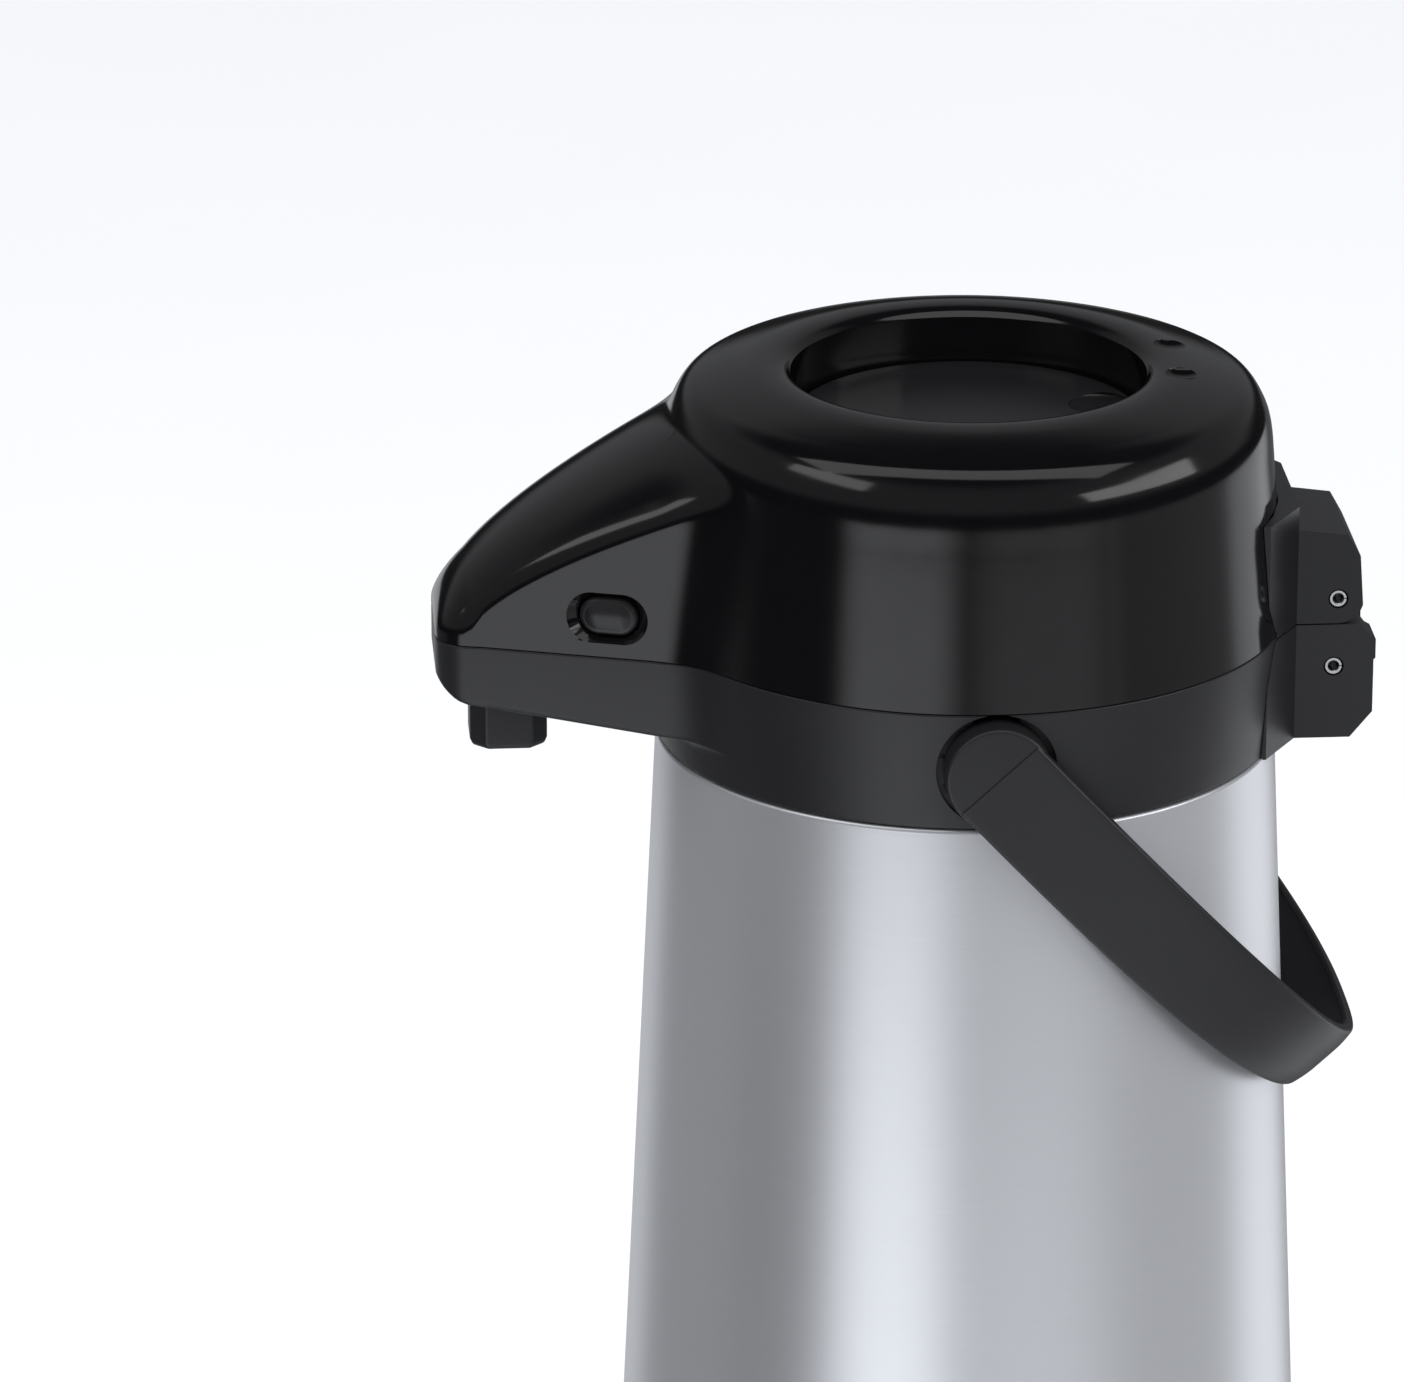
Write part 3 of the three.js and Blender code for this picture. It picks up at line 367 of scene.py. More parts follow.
def crown_radius(phi, z, limit, inset=0.0):
    """Distance to the spout's crown at height z: its section is a superellipse that stands on
    the walls' top edges and reaches the ridge in the middle."""
    side, front = np.abs(np.sin(phi)), np.cos(phi)

    def inside(r):
        y = -r * front
        v = np.clip(r * side / np.maximum(spout_half(y, inset), 1e-6), 0, 1)
        edge = panel_top_z(y) - inset
        top = edge + (ridge_z(y) - panel_top_z(y)) * (1 - v**2.2) ** (1 / 2.2)
        return (z <= top) & (front > 0)

    return outermost(inside, limit)


def eased(value, start, end):
    """0 before start, 1 after end, and a smooth 3t^2 - 2t^3 between them."""
    t = np.clip((value - start) / (end - start), 0, 1)
    return t * t * (3 - 2 * t)


def merged_radius(a, b, width):
    """The larger of two radii, with the corner between them filled over the given width."""
    share = np.clip(0.5 + 0.5 * (a - b) / width, 0, 1)
    return b + (a - b) * share + width * share * (1 - share)


def lid_profile(inset=0.0):
    """The lid's turned outline from the seam to the inner edge of its ring. The inset moves each
    point inwards by its share of across and of low."""
    r = np.array([SEAM_R, 70.15, 68.6, 67.7, 66, 63, 58, 50, 45, 41.6, WELL_R])
    z = np.array([SEAM_Z, 327.5, 346.1, 355, 360, 364, 366, 368, LID_TOP_Z, 368, 366.5])
    low = np.array([0, 0, 0, 0, 0.4, 0.7, 1, 1, 1, 1, 1])
    across = np.array([1, 1, 1, 1, 1, 0.8, 0.4, 0, 0, 0, -1])
    return np.stack([r - inset * across, z - inset * low], -1)


def lid_columns(phi, inset=0.0):
    """Points of the lid's outside: wall rows from the seam up to the spout's side edge, then
    crown rows from there to the ring. In each row the spout's radius and the turned outline's
    radius are merged with a hollow fillet."""
    curve = smooth_through(lid_profile(inset), 24)
    crest = int(np.argmax(curve[:, 1]))
    rising_r, rising_z = curve[: crest + 1, 0], curve[: crest + 1, 1]
    wall = wall_radius(phi, inset)
    edge_y = -np.minimum(wall, FARTHEST) * np.cos(phi)
    edge_z = np.clip(panel_top_z(edge_y), SEAM_Z + PANEL_TIP_H, PANEL_LIMIT_Z) - inset
    edge_z = np.where(np.abs(phi) > SIDE_ANGLE, PANEL_LIMIT_Z - inset, edge_z)
    wall_rows = np.linspace(0, 1, 30)[None, :]
    low_z = SEAM_Z + (edge_z - SEAM_Z)[:, None] * wall_rows
    turned_r = np.interp(low_z, rising_z, rising_r)
    low_r = merged_radius(wall[:, None] + 0 * low_z, turned_r, SIDE_FILLET)
    # Crown rows are spread evenly along the turned outline's own length.
    length = np.concatenate([[0], np.cumsum(np.hypot(np.diff(rising_r), np.diff(rising_z)))])
    start = np.interp(edge_z, rising_z, length)
    rows = np.linspace(0, 1, 110)[None, 1:]
    along = start[:, None] + (length[-1] - start)[:, None] * rows
    high_z = np.interp(along, length, rising_z)
    dome_r = np.interp(along, length, rising_r)
    across = phi[:, None] + 0 * high_z
    crown = crown_radius(across, high_z, wall[:, None] + 0 * high_z, inset)
    # The spout fades out round the sides of the lid and below its ring.
    crown = crown * eased(np.abs(across), *FADE_ANGLES)
    crown = crown * eased(high_z, LID_TOP_Z - 1.5, LID_TOP_Z - 6.5)
    narrower = 5 * eased(high_z, PANEL_LIMIT_Z - 1, LID_TOP_Z - 8.5)
    high_r = merged_radius(crown, dome_r, SIDE_FILLET - narrower)
    rest = curve[crest + 1:]
    rest_r = np.broadcast_to(rest[:, 0], (len(phi), len(rest)))
    rest_z = np.broadcast_to(rest[:, 1], (len(phi), len(rest)))
    r = np.concatenate([low_r, high_r, rest_r], 1)
    z = np.concatenate([low_z, high_z, rest_z], 1)
    return r, z


def spout_directions(count):
    """Directions from -Y, closer together where they meet the spout and its nose."""
    share = np.linspace(-1, 1, count, endpoint=False)
    return math.pi * (0.42 * share + 0.58 * share**3)


def polar(phi, r, z):
    """Points at direction phi from -Y, radius r and height z."""
    return np.stack([r * np.sin(phi)[:, None], -r * np.cos(phi)[:, None], z], -1)


def lid_cover():
    """The lid's outside, the well's wall and the inside, as one closed skin of columns."""
    phi = spout_directions(ROUND_COLUMNS)
    r, z = lid_columns(phi)
    in_r, in_z = lid_columns(phi, WALL)
    # The inside's rows end just before the well's wall. A column at the side shows where.
    side_column = in_r[ROUND_COLUMNS * 3 // 4]
    keep = int(np.searchsorted(-side_column, -(WELL_R + WALL + 1)))
    behind = WELL_R + WALL
    well = np.array([
        [WELL_R, LID_TOP_Z - 4], [WELL_R, WELL_BOTTOM_Z],
        [behind, WELL_BOTTOM_Z], [behind, LID_TOP_Z - 6.5],
    ])
    well_r = np.broadcast_to(well[:, 0], (ROUND_COLUMNS, 4))
    well_z = np.broadcast_to(well[:, 1], (ROUND_COLUMNS, 4))
    skin_r = np.concatenate([r, well_r, in_r[:, keep::-1]], 1)
    skin_z = np.concatenate([z, well_z, in_z[:, keep::-1]], 1)
    skin_z = np.maximum(skin_z, SEAM_Z)
    return tidy_mesh(closed_grid("lid_cover_fine", polar(phi, skin_r, skin_z)), 28)


def latch_cutters():
    """For each side, an oval dish that narrows to an oval opening through the wall."""
    turn = np.linspace(0, 2 * math.pi, 96, endpoint=False)
    hole = LATCH_HOLE_LONG, LATCH_HOLE_TALL
    rows_of_sizes = np.array([[2, 19.6, 12.6], [0, 18.6, 11.8], [-1.9, *hole], [-7, *hole]])
    x, long, tall = rows_of_sizes.T[:, :, None]
    rows = np.stack([
        x + 0 * turn,
        tall / 2 * np.cos(turn) + np.sign(np.cos(turn)) * (long - tall) / 2,
        tall / 2 * np.sin(turn),
    ], -1)
    cutters = []
    for side in (1, -1):
        points = moved(rows, spout_wall_frame(side))
        cutters.append(tidy_mesh(closed_grid("cutter", points, ends=True)))
    return cutters


def box_grid(x0, x1, y0, y1, z0, z1):
    """A plain box as two rows of four corners, closed at both ends."""
    row = np.array([[x0, y0], [x1, y0], [x1, y1], [x0, y1]])
    return np.stack([np.column_stack([row, np.full(4, z)]) for z in (z0, z1)])


def latch(side, name):
    """The latch button with its crowned oval face, the arm behind it and the hook below."""
    place = spout_wall_frame(side)
    play = 0.7  # between cap and hole, both ways
    crowned = oblong_bar(LATCH_HOLE_LONG - play, LATCH_HOLE_TALL - play, LATCH_BACK, -0.8, 1.4, 0.7)
    cap = tidy_mesh(closed_grid(name, moved(crowned, place), True))
    half, hook_bottom, hook_top = 3.5, -18.6, -15.6
    arm = box_grid(LATCH_BACK, LATCH_BACK + 3, -half, half, hook_bottom, 3)
    hook = box_grid(LATCH_BACK, LATCH_BACK + 5.6, -half, half, hook_bottom, hook_top)
    bars = [tidy_mesh(closed_grid("bar", moved(bar, place), True)) for bar in (arm, hook)]
    return joined(cap, *bars)


def bowl(x, y, z, radius, depth):
    """A flattened ball, x = r cos a cos b, to press a shallow hollow with."""
    b = np.linspace(-math.pi / 2, math.pi / 2, 22)[1:-1, None]
    a = np.linspace(0, 2 * math.pi, 48, endpoint=False)
    points = np.stack([
        x + radius * np.cos(b) * np.cos(a),
        y + radius * np.cos(b) * np.sin(a),
        z + depth * np.sin(b) + 0 * a,
    ], -1)
    return tidy_mesh(closed_grid("cutter", points, ends=True))


def mark_cutters():
    """Two round hollows in the lid's ring, for open and locked."""
    ring_r = 48
    cutters = []
    for turn in (MARK_TURN, math.pi - MARK_TURN):
        x, y = ring_r * math.cos(turn), ring_r * math.sin(turn)
        cutters.append(bowl(x, y, LID_TOP_Z + 0.2, 4, 1.6))
    return cutters


def collar():
    """The collar with the lower spout: each column goes down the wall, in along the spout's
    underside, down the collar, and back up inside over the web and its mouth."""
    phi = spout_directions(ROUND_COLUMNS)
    wall = wall_radius(phi)
    top = SEAM_Z - GAP
    fillet = 7
    top_r = merged_radius(wall, np.full(phi.shape, collar_radius(top)), fillet)
    front = np.cos(phi)
    root_z = SEAM_Z - 19.4
    floor_at_wall = np.where(front > 0.7, spout_floor_z(-top_r * front), root_z)
    root_r = collar_radius(floor_at_wall)
    edge_r = merged_radius(wall, root_r, fillet)
    room = np.full(phi.shape, 68.3)
    room_r = merged_radius(np.where(front > 0.5, wall_radius(phi, WALL), 0), room, 3)
    floor_in = np.maximum(floor_at_wall + WALL, WEB_TOP_Z)
    at_root = np.where(front > 0.7, spout_floor_z(-root_r * front), root_z)
    column = [
        (top_r, top), (edge_r, floor_at_wall), (root_r, np.minimum(at_root, floor_at_wall)),
        (COLLAR_BOTTOM_R, COLLAR_BOTTOM_Z), (COLLAR_BOTTOM_R - 3, COLLAR_BOTTOM_Z),
        (67.6, WEB_BOTTOM_Z), (MOUTH_R, WEB_BOTTOM_Z), (MOUTH_R, WEB_TOP_Z), (60, WEB_TOP_Z),
        (room_r, floor_in), (room_r, top),
    ]
    corners = np.stack([np.stack([r + 0 * phi, z + 0 * phi], -1) for r, z in column], 1)
    reach = np.array([0.5, 1.8, 3.0, 0.7, 0.5, 0.5, 0.4, 0.4, 0.5, 1.0, 0.4])
    lines = rounded(corners, reach, 6)
    return tidy_mesh(closed_grid("collar_fine", polar(phi, lines[..., 0], lines[..., 1])), 30)


def socket_cutters():
    """A shallow round seat in each side of the collar and a bore for the bail's peg."""
    cutters = []
    for side in (1, -1):
        outside = BAIL_HALF + 3
        for radius, low in ((EYE_R + 1.6, SOCKET_X), (PEG_R + 0.6, SOCKET_X - 8.1)):
            line = [(0, low), (radius, low), (radius, outside), (0, outside)]
            cutter = turned("cutter", line, 0, 64, 2)
            turn = Matrix.Translation((0, 0, BAIL_PIVOT_Z * MM)) @ Matrix.Rotation(
                side * math.pi / 2, 4, "Y")
            cutter.data.transform(turn)
            cutters.append(cutter)
    return cutters


# ---- Bail ----------------------------------------------------------------------------------
def bail_line(share):
    """The bail's outer line: a superellipse of exponent 2.5 from peg to peg."""
    turn = math.pi * share
    x = BAIL_HALF * np.sign(np.cos(turn)) * np.abs(np.cos(turn)) ** 0.8
    y = BAIL_REACH * np.abs(np.sin(turn)) ** 0.8
    return np.stack([x, y], -1)


def bail_strap():
    """A rounded channel section carried along the bail's line, narrower at the loop. The
    section's corners are (depth inwards, width). Its outer face is flat at the eyes and bulges
    along the arms and the loop."""
    half = STRAP_HALF
    lip_w = 1.7
    lip = half - lip_w

    def section(bulge):
        corners = [
            (bulge, -half), (0, -half * 0.55), (0, half * 0.55), (bulge, half), (STRAP_H, half),
            (STRAP_H, lip), (lip_w, lip), (lip_w, -lip), (STRAP_H, -lip), (STRAP_H, -half),
        ]
        return rounded(corners, [0.9, 3, 3, 0.9, 0.6, 0.6, 0.5, 0.5, 0.6, 0.6], 5)

    share = np.linspace(0, 1, 321)
    # Small steps near the pegs, where the line turns fastest.
    slower = 0.12
    share = share - slower * np.sin(2 * math.pi * share) / (2 * math.pi)
    here = bail_line(share)
    ahead = bail_line(np.minimum(1, share + 0.002)) - bail_line(np.maximum(0, share - 0.002))
    along = ahead / np.linalg.norm(ahead, axis=1, keepdims=True)
    width = 1 - STRAP_PINCH / STRAP_HALF * np.sin(math.pi * share) ** 3
    bulging = eased(np.sin(math.pi * share), 0.02, 0.3)[:, None, None]
    lines = section(0.05) * (1 - bulging) + section(STRAP_BULGE) * bulging
    depth = lines[..., 0]
    x = here[:, :1] - along[:, 1:] * depth
    y = here[:, 1:] + along[:, :1] * depth
    z = lines[..., 1] * width[:, None]
    return np.stack([x, y, z], -1)


def bail_eye(side):
    """The disc at one end of the bail, a little lower than the arm so that the arm's end shows
    as a fold line across it, and the peg behind it, turned about X."""
    face = BAIL_HALF - 0.35
    back = SOCKET_X + 0.6
    peg_end = SOCKET_X - 6
    line = [(0, face), (EYE_R, face), (EYE_R, back), (PEG_R, back), (PEG_R, peg_end), (0, peg_end)]
    profile = rounded(line, [0, 0.9, 0.4, 0.3, 0.5, 0], 6)
    points = around_axis(profile, 96)
    return np.stack([side * points[..., 2], points[..., 1], points[..., 0]], -1)


def bail_handle():
    """The strap and its two eyes, turned down to rest at the rear."""
    rest = Matrix.Translation((0, 0, BAIL_PIVOT_Z)) @ Matrix.Rotation(-BAIL_REST, 4, "X")
    strap = tidy_mesh(closed_grid("bail_handle_fine", moved(bail_strap(), rest), True), 40)
    eyes = [tidy_mesh(closed_grid("eye", moved(bail_eye(side), rest)), 40) for side in (1, -1)]
    return joined(strap, *eyes)


# ---- Hinge pins ----------------------------------------------------------------------------
def hinge_pin(y, z):
    """A rolled spring pin: a tube with a narrow slit, its ends slightly domed."""
    slit = 0.07  # half of the slit's angle
    bore, dome = 1.2, 0.15
    turn = np.linspace(slit, 2 * math.pi - slit, 48)
    x = np.array([-PIN_HALF, 0.2 - PIN_HALF, PIN_HALF - 0.2, PIN_HALF])[:, None]
    outer = np.array([PIN_R - dome, PIN_R, PIN_R, PIN_R - dome])[:, None]
    inner = np.array([bore + dome, bore, bore, bore + dome])[:, None]
    rim = np.concatenate([0 * turn + outer, 0 * turn + inner], 1)
    angle = np.concatenate([turn, turn[::-1]])
    return np.stack([x + 0 * rim, y + rim * np.cos(angle), z + rim * np.sin(angle)], -1)


def pin_piece(name, y, z):
    """The pin's skin with its two flat end rings made of quads between its two walls."""
    points = hinge_pin(y, z)
    rows, columns = points.shape[:2]
    i, j = np.meshgrid(np.arange(rows - 1), np.arange(columns), indexing="ij")
    right = (j + 1) % columns
    quads = [i * columns + j, (i + 1) * columns + j, (i + 1) * columns + right, i * columns + right]
    skin = np.stack(quads, -1).reshape(-1, 4)
    k = np.arange(columns // 2 - 1)
    ring = np.stack([k, k + 1, columns - 2 - k, columns - 1 - k], -1)
    faces = np.vstack([skin, ring, ring + (rows - 1) * columns]).tolist()
    return tidy_mesh(put_mesh(name, points, faces), 30)


# ---- Pump ----------------------------------------------------------------------------------
def push_button():
    """A turned cap with a raised rim, a skirt and a socket for the plunger, and one scoop."""
    skirt = WELL_R - 0.6
    under = BUTTON_TOP_Z - WALL
    low = BUTTON_TOP_Z - BUTTON_SKIRT
    hub_wall = HUB_R + 2.6
    line = [
        (0, BUTTON_TOP_Z - 0.9), (skirt - 8, BUTTON_TOP_Z - 0.8), (skirt - 4.5, BUTTON_TOP_Z),
        (skirt, BUTTON_TOP_Z), (skirt, low), (skirt - 2, low), (skirt - 2, under),
        (hub_wall, under), (hub_wall, under - 10), (HUB_R + GAP, under - 10),
        (HUB_R + GAP, under), (0, under),
    ]
    reach = [0, 3, 1.6, 1.6, 0.4, 0.4, 0.6, 0.6, 0.3, 0.3, 0.3, 0]
    piece = turned("push_button_fine", line, reach)
    scoop_r = 31
    x, y = scoop_r * math.cos(MARK_TURN), scoop_r * math.sin(MARK_TURN)
    return carved(piece, bowl(x, y, BUTTON_TOP_Z - 0.6, 7, 1.4))


def bellows():
    """A folded rubber tube with four folds: r = R - d - d cos^0.8(8 pi t), t from 0 to 1."""
    t = np.linspace(0, 1, 81)
    z = PUMP_LOW + (PUMP_HIGH - PUMP_LOW) * t
    swing = np.cos(8 * math.pi * t)
    depth = 2.5  # half of a fold
    outside = np.stack([BELLOWS_R - depth - depth * np.sign(swing) * np.abs(swing) ** 0.8, z], -1)
    inside = outside[::-1] - [1, 0]
    profile = np.vstack([outside, inside])
    return tidy_mesh(closed_grid("bellows_fine", around_axis(profile, 160)), 60)


def coil(name, radius, wire, height, place):
    """Three turns of wire wound on a helix along Z from z = 0, put in place by a matrix."""
    share = np.linspace(0, 1, 181)[:, None]
    turn = 2 * math.pi * 3 * share
    ring = np.linspace(0, 2 * math.pi, 14, endpoint=False)
    r = radius + wire * np.cos(ring)
    z = wire + (height - 2 * wire) * share + wire * np.sin(ring)
    points = np.stack([r * np.cos(turn), r * np.sin(turn), z], -1)
    return tidy_mesh(closed_grid(name, moved(points, place), ends=True), 60)


# ---- Finishes ------------------------------------------------------------------------------
class Wire:
    """A value in a node tree. Sums written on it add the nodes that do them."""

    def __init__(self, nodes, socket):
        self.nodes = nodes
        self.socket = socket

    def sum(self, operation, a, b):
        return self.nodes.node("ShaderNodeMath", {"operation": operation}, [a, b])

    def __add__(self, other):
        return self.sum("ADD", self, other)

    def __sub__(self, other):
        return self.sum("SUBTRACT", self, other)

    def __mul__(self, other):
        return self.sum("MULTIPLY", self, other)

    def __rsub__(self, other):
        return self.sum("SUBTRACT", other, self)

    __radd__ = __add__
    __rmul__ = __mul__


class Nodes:
    """Adds nodes to a node tree."""

    def __init__(self, tree):
        self.tree = tree

    def node(self, kind, settings, values, out=0):
        """Adds a node: settings are its properties, values its sockets' numbers or wires."""
        made = self.tree.nodes.new(kind)
        for key, value in settings.items():
            setattr(made, key, value)
        pairs = values.items() if isinstance(values, dict) else enumerate(values)
        for key, value in pairs:
            self.set(made.inputs[key], value)
        return Wire(self, made.outputs[out])

    def set(self, socket, value):
        if isinstance(value, Wire):
            self.tree.links.new(value.socket, socket)
        else:
            socket.default_value = value

    def step(self, value, start, end):
        """0 at start and 1 at end, eased between them."""
        return self.node("ShaderNodeMapRange", {"interpolation_type": "SMOOTHSTEP"}, {
            "Value": value, "From Min": start, "From Max": end})


class Finish(Nodes):
    """A material with one Principled shader. Constants go straight onto its sockets."""

    def __init__(self, name, **constants):
        self.material = bpy.data.materials.new(name)
        self.material.use_nodes = True
        super().__init__(self.material.node_tree)
        self.shader = self.tree.nodes["Principled BSDF"]
        for socket, value in constants.items():
            self.shader.inputs[socket.replace("_", " ")].default_value = value
        self.place = self.node("ShaderNodeTexCoord", {}, {}, "Object")

    def feed(self, **wires):
        """Wires the given values to the shader's sockets and hands over the material."""
        for socket, wire in wires.items():
            self.set(self.shader.inputs[socket.replace("_", " ")], wire)
        return self.material

    def noise(self, scale, detail=2.0, stretch=(1, 1, 1)):
        """Noise with about this many lumps per metre, stretched along the axes."""
        place = self.node("ShaderNodeMapping", {}, {"Vector": self.place, "Scale": stretch})
        return self.node("ShaderNodeTexNoise", {}, {
            "Vector": place, "Scale": scale, "Detail": detail, "Roughness": 0.6}, "Fac")

    def blend(self, share, a, b):
        """A colour between a and b. On this node 6 and 7 are the colours and 2 is the result."""
        return self.node("ShaderNodeMix", {"data_type": "RGBA"}, {0: share, 6: a, 7: b}, 2)

    def bump(self, height, distance, strength):
        return self.node("ShaderNodeBump", {}, {
            "Height": height, "Distance": distance, "Strength": strength}, "Normal")


def gloss_black():
    """Polished black plastic: an almost even gloss with faint waviness and handling haze."""
    f = Finish("gloss_black")
    haze = f.noise(45, 3)
    fine = f.noise(900, 2)
    return f.feed(
        Base_Color=f.blend(haze, (0.0018, 0.0015, 0.0019, 1), (0.0034, 0.0028, 0.0034, 1)),
        Roughness=0.07 + 0.06 * haze + 0.02 * fine,
        Normal=f.bump(f.noise(90, 1), 0.00012, 0.25),
    )


def grained_black(name, tone, rough, grain, height):
    """Moulded black plastic with a fine spark-eroded grain and slightly uneven sheen."""
    f = Finish(name)
    cloud = f.noise(30, 3)
    pits = f.noise(grain, 3)
    dark = tuple(0.75 * c for c in tone) + (1,)
    light = tuple(1.25 * c for c in tone) + (1,)
    return f.feed(
        Base_Color=f.blend(cloud * 0.6 + pits * 0.4, dark, light),
        Roughness=rough - 0.06 + 0.08 * cloud + 0.06 * pits,
        Normal=f.bump(pits, height, 0.5),
    )


def brushed_steel():
    """Satin stainless steel, brushed round the body: long thin streaks in rough and bump."""
    f = Finish("brushed_steel", Metallic=0.8)
    streaks = f.noise(60, 4, (0.6, 0.6, 90))
    soft = f.noise(14, 2, (1, 1, 0.5))
    cool, warm = (0.68, 0.69, 0.725, 1), (0.78, 0.79, 0.82, 1)
    return f.feed(
        Base_Color=f.blend(streaks * 0.6 + soft * 0.4, cool, warm),
        Roughness=0.27 + 0.1 * streaks + 0.04 * soft,
        Normal=f.bump(streaks, 0.00004, 0.35),
    )


def bright_metal(name, tone, rough):
    """Drawn bright metal with light scratches."""
    f = Finish(name, Metallic=1.0)
    scratch = f.noise(500, 3, (1, 1, 0.2))
    dark = tuple(0.85 * c for c in tone) + (1,)
    return f.feed(
        Base_Color=f.blend(scratch, dark, tone + (1,)),
        Roughness=rough + 0.12 * scratch,
        Normal=f.bump(scratch, 0.00003, 0.3),
    )


def soft_rubber():
    """Dull black rubber, finely speckled."""
    f = Finish("soft_rubber")
    speck = f.noise(1400, 3)
    return f.feed(
        Base_Color=f.blend(speck, (0.012, 0.012, 0.013, 1), (0.028, 0.028, 0.03, 1)),
        Roughness=0.7 + 0.15 * speck,
        Normal=f.bump(speck, 0.00006, 0.5),
    )


def pale_plastic():
    """Off-white food-grade plastic with a faint cloudiness."""
    f = Finish("pale_plastic")
    cloud = f.noise(120, 3)
    return f.feed(
        Base_Color=f.blend(cloud, (0.68, 0.66, 0.6, 1), (0.76, 0.74, 0.69, 1)),
        Roughness=0.36 + 0.12 * cloud,
        Normal=f.bump(f.noise(700, 2), 0.00003, 0.3),
    )


GLOSS = gloss_black()
SATIN = grained_black("satin_black", (0.008, 0.0078, 0.0088), 0.34, 2200, 0.00003)
MATT = grained_black("matt_black", (0.011, 0.0107, 0.0122), 0.38, 1700, 0.00005)
STEEL = brushed_steel()
FLASK = bright_metal("flask_steel", (0.72, 0.72, 0.74), 0.22)
BRIGHT = bright_metal("bright_wire", (0.78, 0.78, 0.8), 0.2)
RUBBER = soft_rubber()
PALE = pale_plastic()

# ---- Pieces --------------------------------------------------------------------------------
pad_line = [(0, 0), (PAD_R, 0), (PAD_R, 2), (0, 2)]
settle(turned("non_slip_pad_fine", pad_line, [0, 0.7, 0.4, 0]),
       RUBBER, "rubber", "pot", "non_slip_pad")

# The ring's outside with its foot, the step that the shell stands on, and the ledge for the cap.
base_line = [
    (CAP_R + GAP, 1), (BASE_R - 2, 1), (BASE_R, 3), (BASE_R, 14.7), (BASE_R - 1.5, 14.7),
    (BASE_R - 1.6, 21), (BASE_R - 4.6, 21), (BASE_R - 4.6, 8.3), (CAP_R - 3.7, 8.3),
    (CAP_R - 3.7, 5.3), (CAP_R + GAP, 5.3),
]
settle(turned("base_ring_fine", base_line, [0.5, 1, 1.6, 0.5, 0.3, 0.3, 0.3, 0.3, 0.3, 0.3, 0.3]),
       SATIN, "satin_black", "pot", "base_ring")

# A plate with a rim that reaches up into the base ring.
cap_line = [
    (0, 2.3), (CAP_R, 2.3), (CAP_R, 5), (CAP_R - 4, 5), (CAP_R - 4, 12), (CAP_R - 6.7, 12),
    (CAP_R - 6.7, 5), (0, 5),
]
settle(turned("bottom_cap_fine", cap_line, [0, 0.8, 0.4, 0.2, 0.4, 0.4, 0.2, 0]),
       SATIN, "satin_black", "pot", "bottom_cap")

shell_top = COLLAR_BOTTOM_Z - GAP
low_r, top_r, steel = body_radius(SHELL_LOW_Z), body_radius(shell_top), 1
shell_line = [
    (low_r, SHELL_LOW_Z), (top_r, shell_top), (65, shell_top), (65, shell_top - steel),
    (top_r - steel, shell_top - 1.6), (low_r - steel, SHELL_LOW_Z),
]
settle(turned("outer_shell_fine", shell_line, [0.3, 0.9, 0.2, 0.2, 0.3, 0.3]),
       STEEL, "brushed_body", "pot", "outer_shell")

settle(carved(collar(), *socket_cutters()), MATT, "matt_black", "pot", "collar")
settle(carved(lid_cover(), *latch_cutters(), *mark_cutters()), GLOSS, "lid_gloss", "lid", "lid_cover")
settle(bail_handle(), MATT, "matt_black", "bail", "bail_handle")
settle(push_button(), SATIN, "satin_black", "button", "push_button")

for side, hand in ((1, "right"), (-1, "left")):
    name = f"latch_{hand}"
    settle(latch(side, name + "_fine"), SATIN, "satin_black", name, name)

for node, place, body in (
    ("upper_hinge_pin", UPPER_PIN, "lid"), ("lower_hinge_pin", LOWER_PIN, "pot"),
):
    settle(pin_piece(node + "_fine", *place), BRIGHT, "bright_wire", body, node)

for node, body, width in (
    ("upper_hinge_block", "lid", 0.8), ("hinge_link", "lid", 0.4), ("release_lever", "lever", 0.6),
):
    settle(softened(node, width), SATIN, "satin_black", body, node)
for node, width in (("lower_hinge_block", 0.8), ("spout_nozzle", 0.5)):
    settle(softened(node, width), MATT, "matt_black", "pot", node)


def across(piece, a, b, start, end, finish, slot, node):
    """Gives a piece that lies between two bodies its finish, bakes its placement into its mesh and
    hides its CAD node. The bodies a and b, the ends start and end and the slot are not used.
    """
    piece.data.materials.clear()
    piece.data.materials.append(finish)
    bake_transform(piece)
    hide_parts(node)


def spring(node, a, b, radius, wire, height, place):
    """A coil spring put in place by the matrix, from its foot up to its head. The bodies a and b are
    not used.
    """
    foot, head = [tuple(place @ Vector((0, 0, z)) * MM) for z in (0, height)]
    piece = coil(node + "_fine", radius, wire, height, place)
    across(piece, a, b, foot, head, BRIGHT, "bright_wire", node)


foot, head = (0, 0, PUMP_LOW * MM), (0, 0, PUMP_HIGH * MM)
across(bellows(), "lid", "plunger", foot, head, RUBBER, "rubber", "bellows")
spring("pump_spring", "lid", "plunger", 20, 1.2, PUMP_HIGH - PUMP_LOW,
       Matrix.Translation((0, 0, PUMP_LOW)))
spring("lever_spring", "pot", "lever", 1.6, 0.4, LEVER_SPRING_H,
       Matrix.Translation(LEVER_SPRING_FOOT))
for side, hand in ((1, "right"), (-1, "left")):
    inner_end = Matrix.Translation((LATCH_BACK - GAP - LATCH_SPRING_H, 0, 0))
    lying = inner_end @ Matrix.Rotation(math.pi / 2, 4, "Y")
    spring(f"latch_spring_{hand}", "lid", f"latch_{hand}", 2.4, 0.5, LATCH_SPRING_H,
           spout_wall_frame(side) @ lying)

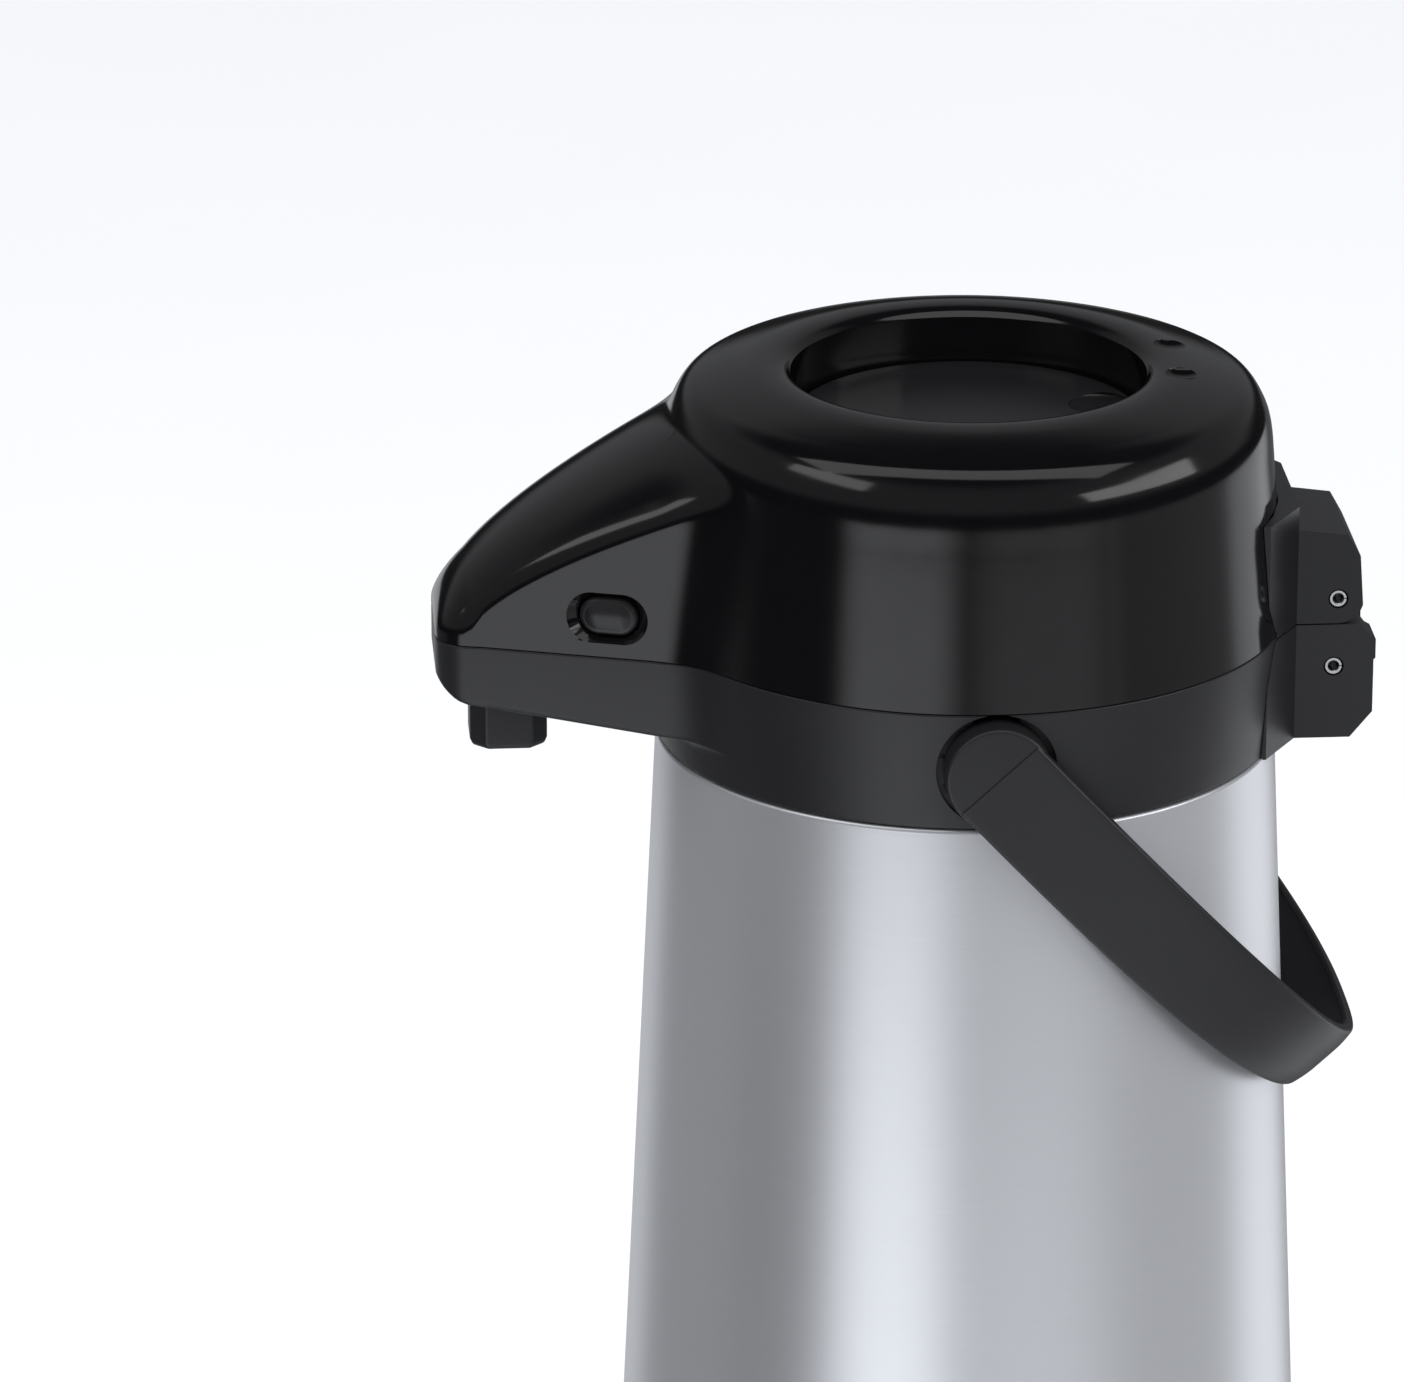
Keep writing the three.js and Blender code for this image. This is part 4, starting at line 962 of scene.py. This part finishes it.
# The inner pieces keep their own shapes.
CAD_FINISHES = [
    (RUBBER, ["liner_cushion", "liner_gasket", "lid_gasket", "intake_valve"]),
    (FLASK, ["liner_inner_wall", "liner_outer_wall", "valve_ball"]),
    (BRIGHT, ["lid_screw_1", "lid_screw_2", "lid_screw_3", "lid_screw_4"]),
    (PALE, ["spout_tube", "tube_head", "siphon_tube", "plunger"]),
    (SATIN, ["lid_base"]),
]
for finish, names in CAD_FINISHES:
    for name in names:
        for material_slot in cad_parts[name].material_slots:
            material_slot.material = finish


# ---- Floor, light and camera ---------------------------------------------------------------
def studio_floor():
    """A wide pale floor, even all over."""
    points = np.array([[-4, -4, 0], [4, -4, 0], [4, 4, 0], [-4, 4, 0]]) / MM
    floor = put_mesh("studio_floor", points, np.array([[0, 1, 2, 3]]))
    f = Finish("floor_paint", Roughness=0.9)
    f.feed(Base_Color=f.blend(f.noise(3, 2), (0.86, 0.86, 0.86, 1), (0.9, 0.9, 0.9, 1)))
    floor.data.materials.append(f.material)
    return floor


def softbox(name, azimuth, elevation, distance, width, height, power):
    """A rectangular light that faces the middle of the lid. Azimuth 0 is at -Y, 90 at +X."""
    light = bpy.data.lights.new(name, "AREA")
    light.shape = "RECTANGLE"
    light.size = width
    light.size_y = height
    light.energy = power
    lamp = bpy.data.objects.new(name, light)
    bpy.context.scene.collection.objects.link(lamp)
    a, e = math.radians(azimuth), math.radians(elevation)
    back = Vector((math.sin(a) * math.cos(e), -math.cos(a) * math.cos(e), math.sin(e)))
    lamp.location = Vector((0, 0, 0.25)) + back * distance
    lamp.rotation_euler = back.to_track_quat("Z", "Y").to_euler()
    return lamp


def studio_world():
    """Even white light for the floor and for dull surfaces. Shiny surfaces mirror a dark room
    over a table, lit in patches: table light lies below the horizon, in given directions."""
    world = bpy.data.worlds.new("studio")
    bpy.context.scene.world = world
    world.use_nodes = True
    n = Nodes(world.node_tree)
    towards = n.node("ShaderNodeTexCoord", {}, {}, "Generated")
    height = n.node("ShaderNodeSeparateXYZ", {}, [towards], "Z")

    def patch(azimuth, inner, outer):
        """1 within inner degrees of the azimuth, 0 beyond outer. Azimuth 0 is -Y, 90 is +X."""
        a = math.radians(azimuth)
        flat = n.node("ShaderNodeVectorMath", {"operation": "MULTIPLY"}, [towards, (1, 1, 0)])
        flat = n.node("ShaderNodeVectorMath", {"operation": "NORMALIZE"}, [flat])
        aim = (math.sin(a), -math.cos(a), 0)
        near = n.node("ShaderNodeVectorMath", {"operation": "DOT_PRODUCT"}, [flat, aim], "Value")
        return n.step(near, math.cos(math.radians(outer)), math.cos(math.radians(inner)))

    table = n.step(height, -0.13, -0.16)
    lit = 0.12 + 1.4 * patch(60, 10, 26) + 0.55 * patch(112, 8, 34) + 0.2 * patch(165, 25, 30)
    lit = lit + 0.9 * patch(215, 10, 26) + 0.5 * patch(290, 8, 22)
    lit = lit * (1 - 0.85 * patch(18, 10, 24))
    wall = 0.2 * n.step(height, 0.0, 0.15) * n.step(height, 0.75, 0.55)
    mirrored_light = lit * table + wall + 0.02
    path = n.node("ShaderNodeLightPath", {}, {}, "Is Glossy Ray")
    level = mirrored_light * path + 1.04 * (1 - path)
    background = world.node_tree.nodes["Background"]
    background.inputs["Color"].default_value = (0.95, 0.97, 1, 1)
    n.set(background.inputs["Strength"], level)


floor = studio_floor()
floor.visible_glossy = False
softbox("right_softbox", 154, 22, 1.5, 1.3, 0.4, 4.4)
softbox("left_softbox", 26, 36, 1.5, 0.8, 0.22, 1)
softbox("overhead", 82, 72, 1.5, 2.8, 0.8, 9)
studio_world()

VIEW_AZIMUTH = math.radians(86)
VIEW_ELEVATION = math.radians(20.03)
VIEW_DISTANCE = 1.930
VIEW_TARGET = -0.0594, 0.2905  # sideways from the axis, and above the floor
view_right = Vector((math.cos(VIEW_AZIMUTH), math.sin(VIEW_AZIMUTH), 0))
view_back = Vector((
    math.sin(VIEW_AZIMUTH) * math.cos(VIEW_ELEVATION),
    -math.cos(VIEW_AZIMUTH) * math.cos(VIEW_ELEVATION),
    math.sin(VIEW_ELEVATION),
))
lens = bpy.data.cameras.new("camera")
lens.sensor_width = 36
lens.lens = 219.03
lens.clip_end = 50
camera = bpy.data.objects.new("camera", lens)
bpy.context.scene.collection.objects.link(camera)
sideways, up = VIEW_TARGET
camera.location = view_right * sideways + Vector((0, 0, up)) + view_back * VIEW_DISTANCE
camera.rotation_euler = view_back.to_track_quat("Z", "Y").to_euler()
bpy.context.scene.camera = camera
bpy.context.scene.view_settings.view_transform = "Standard"
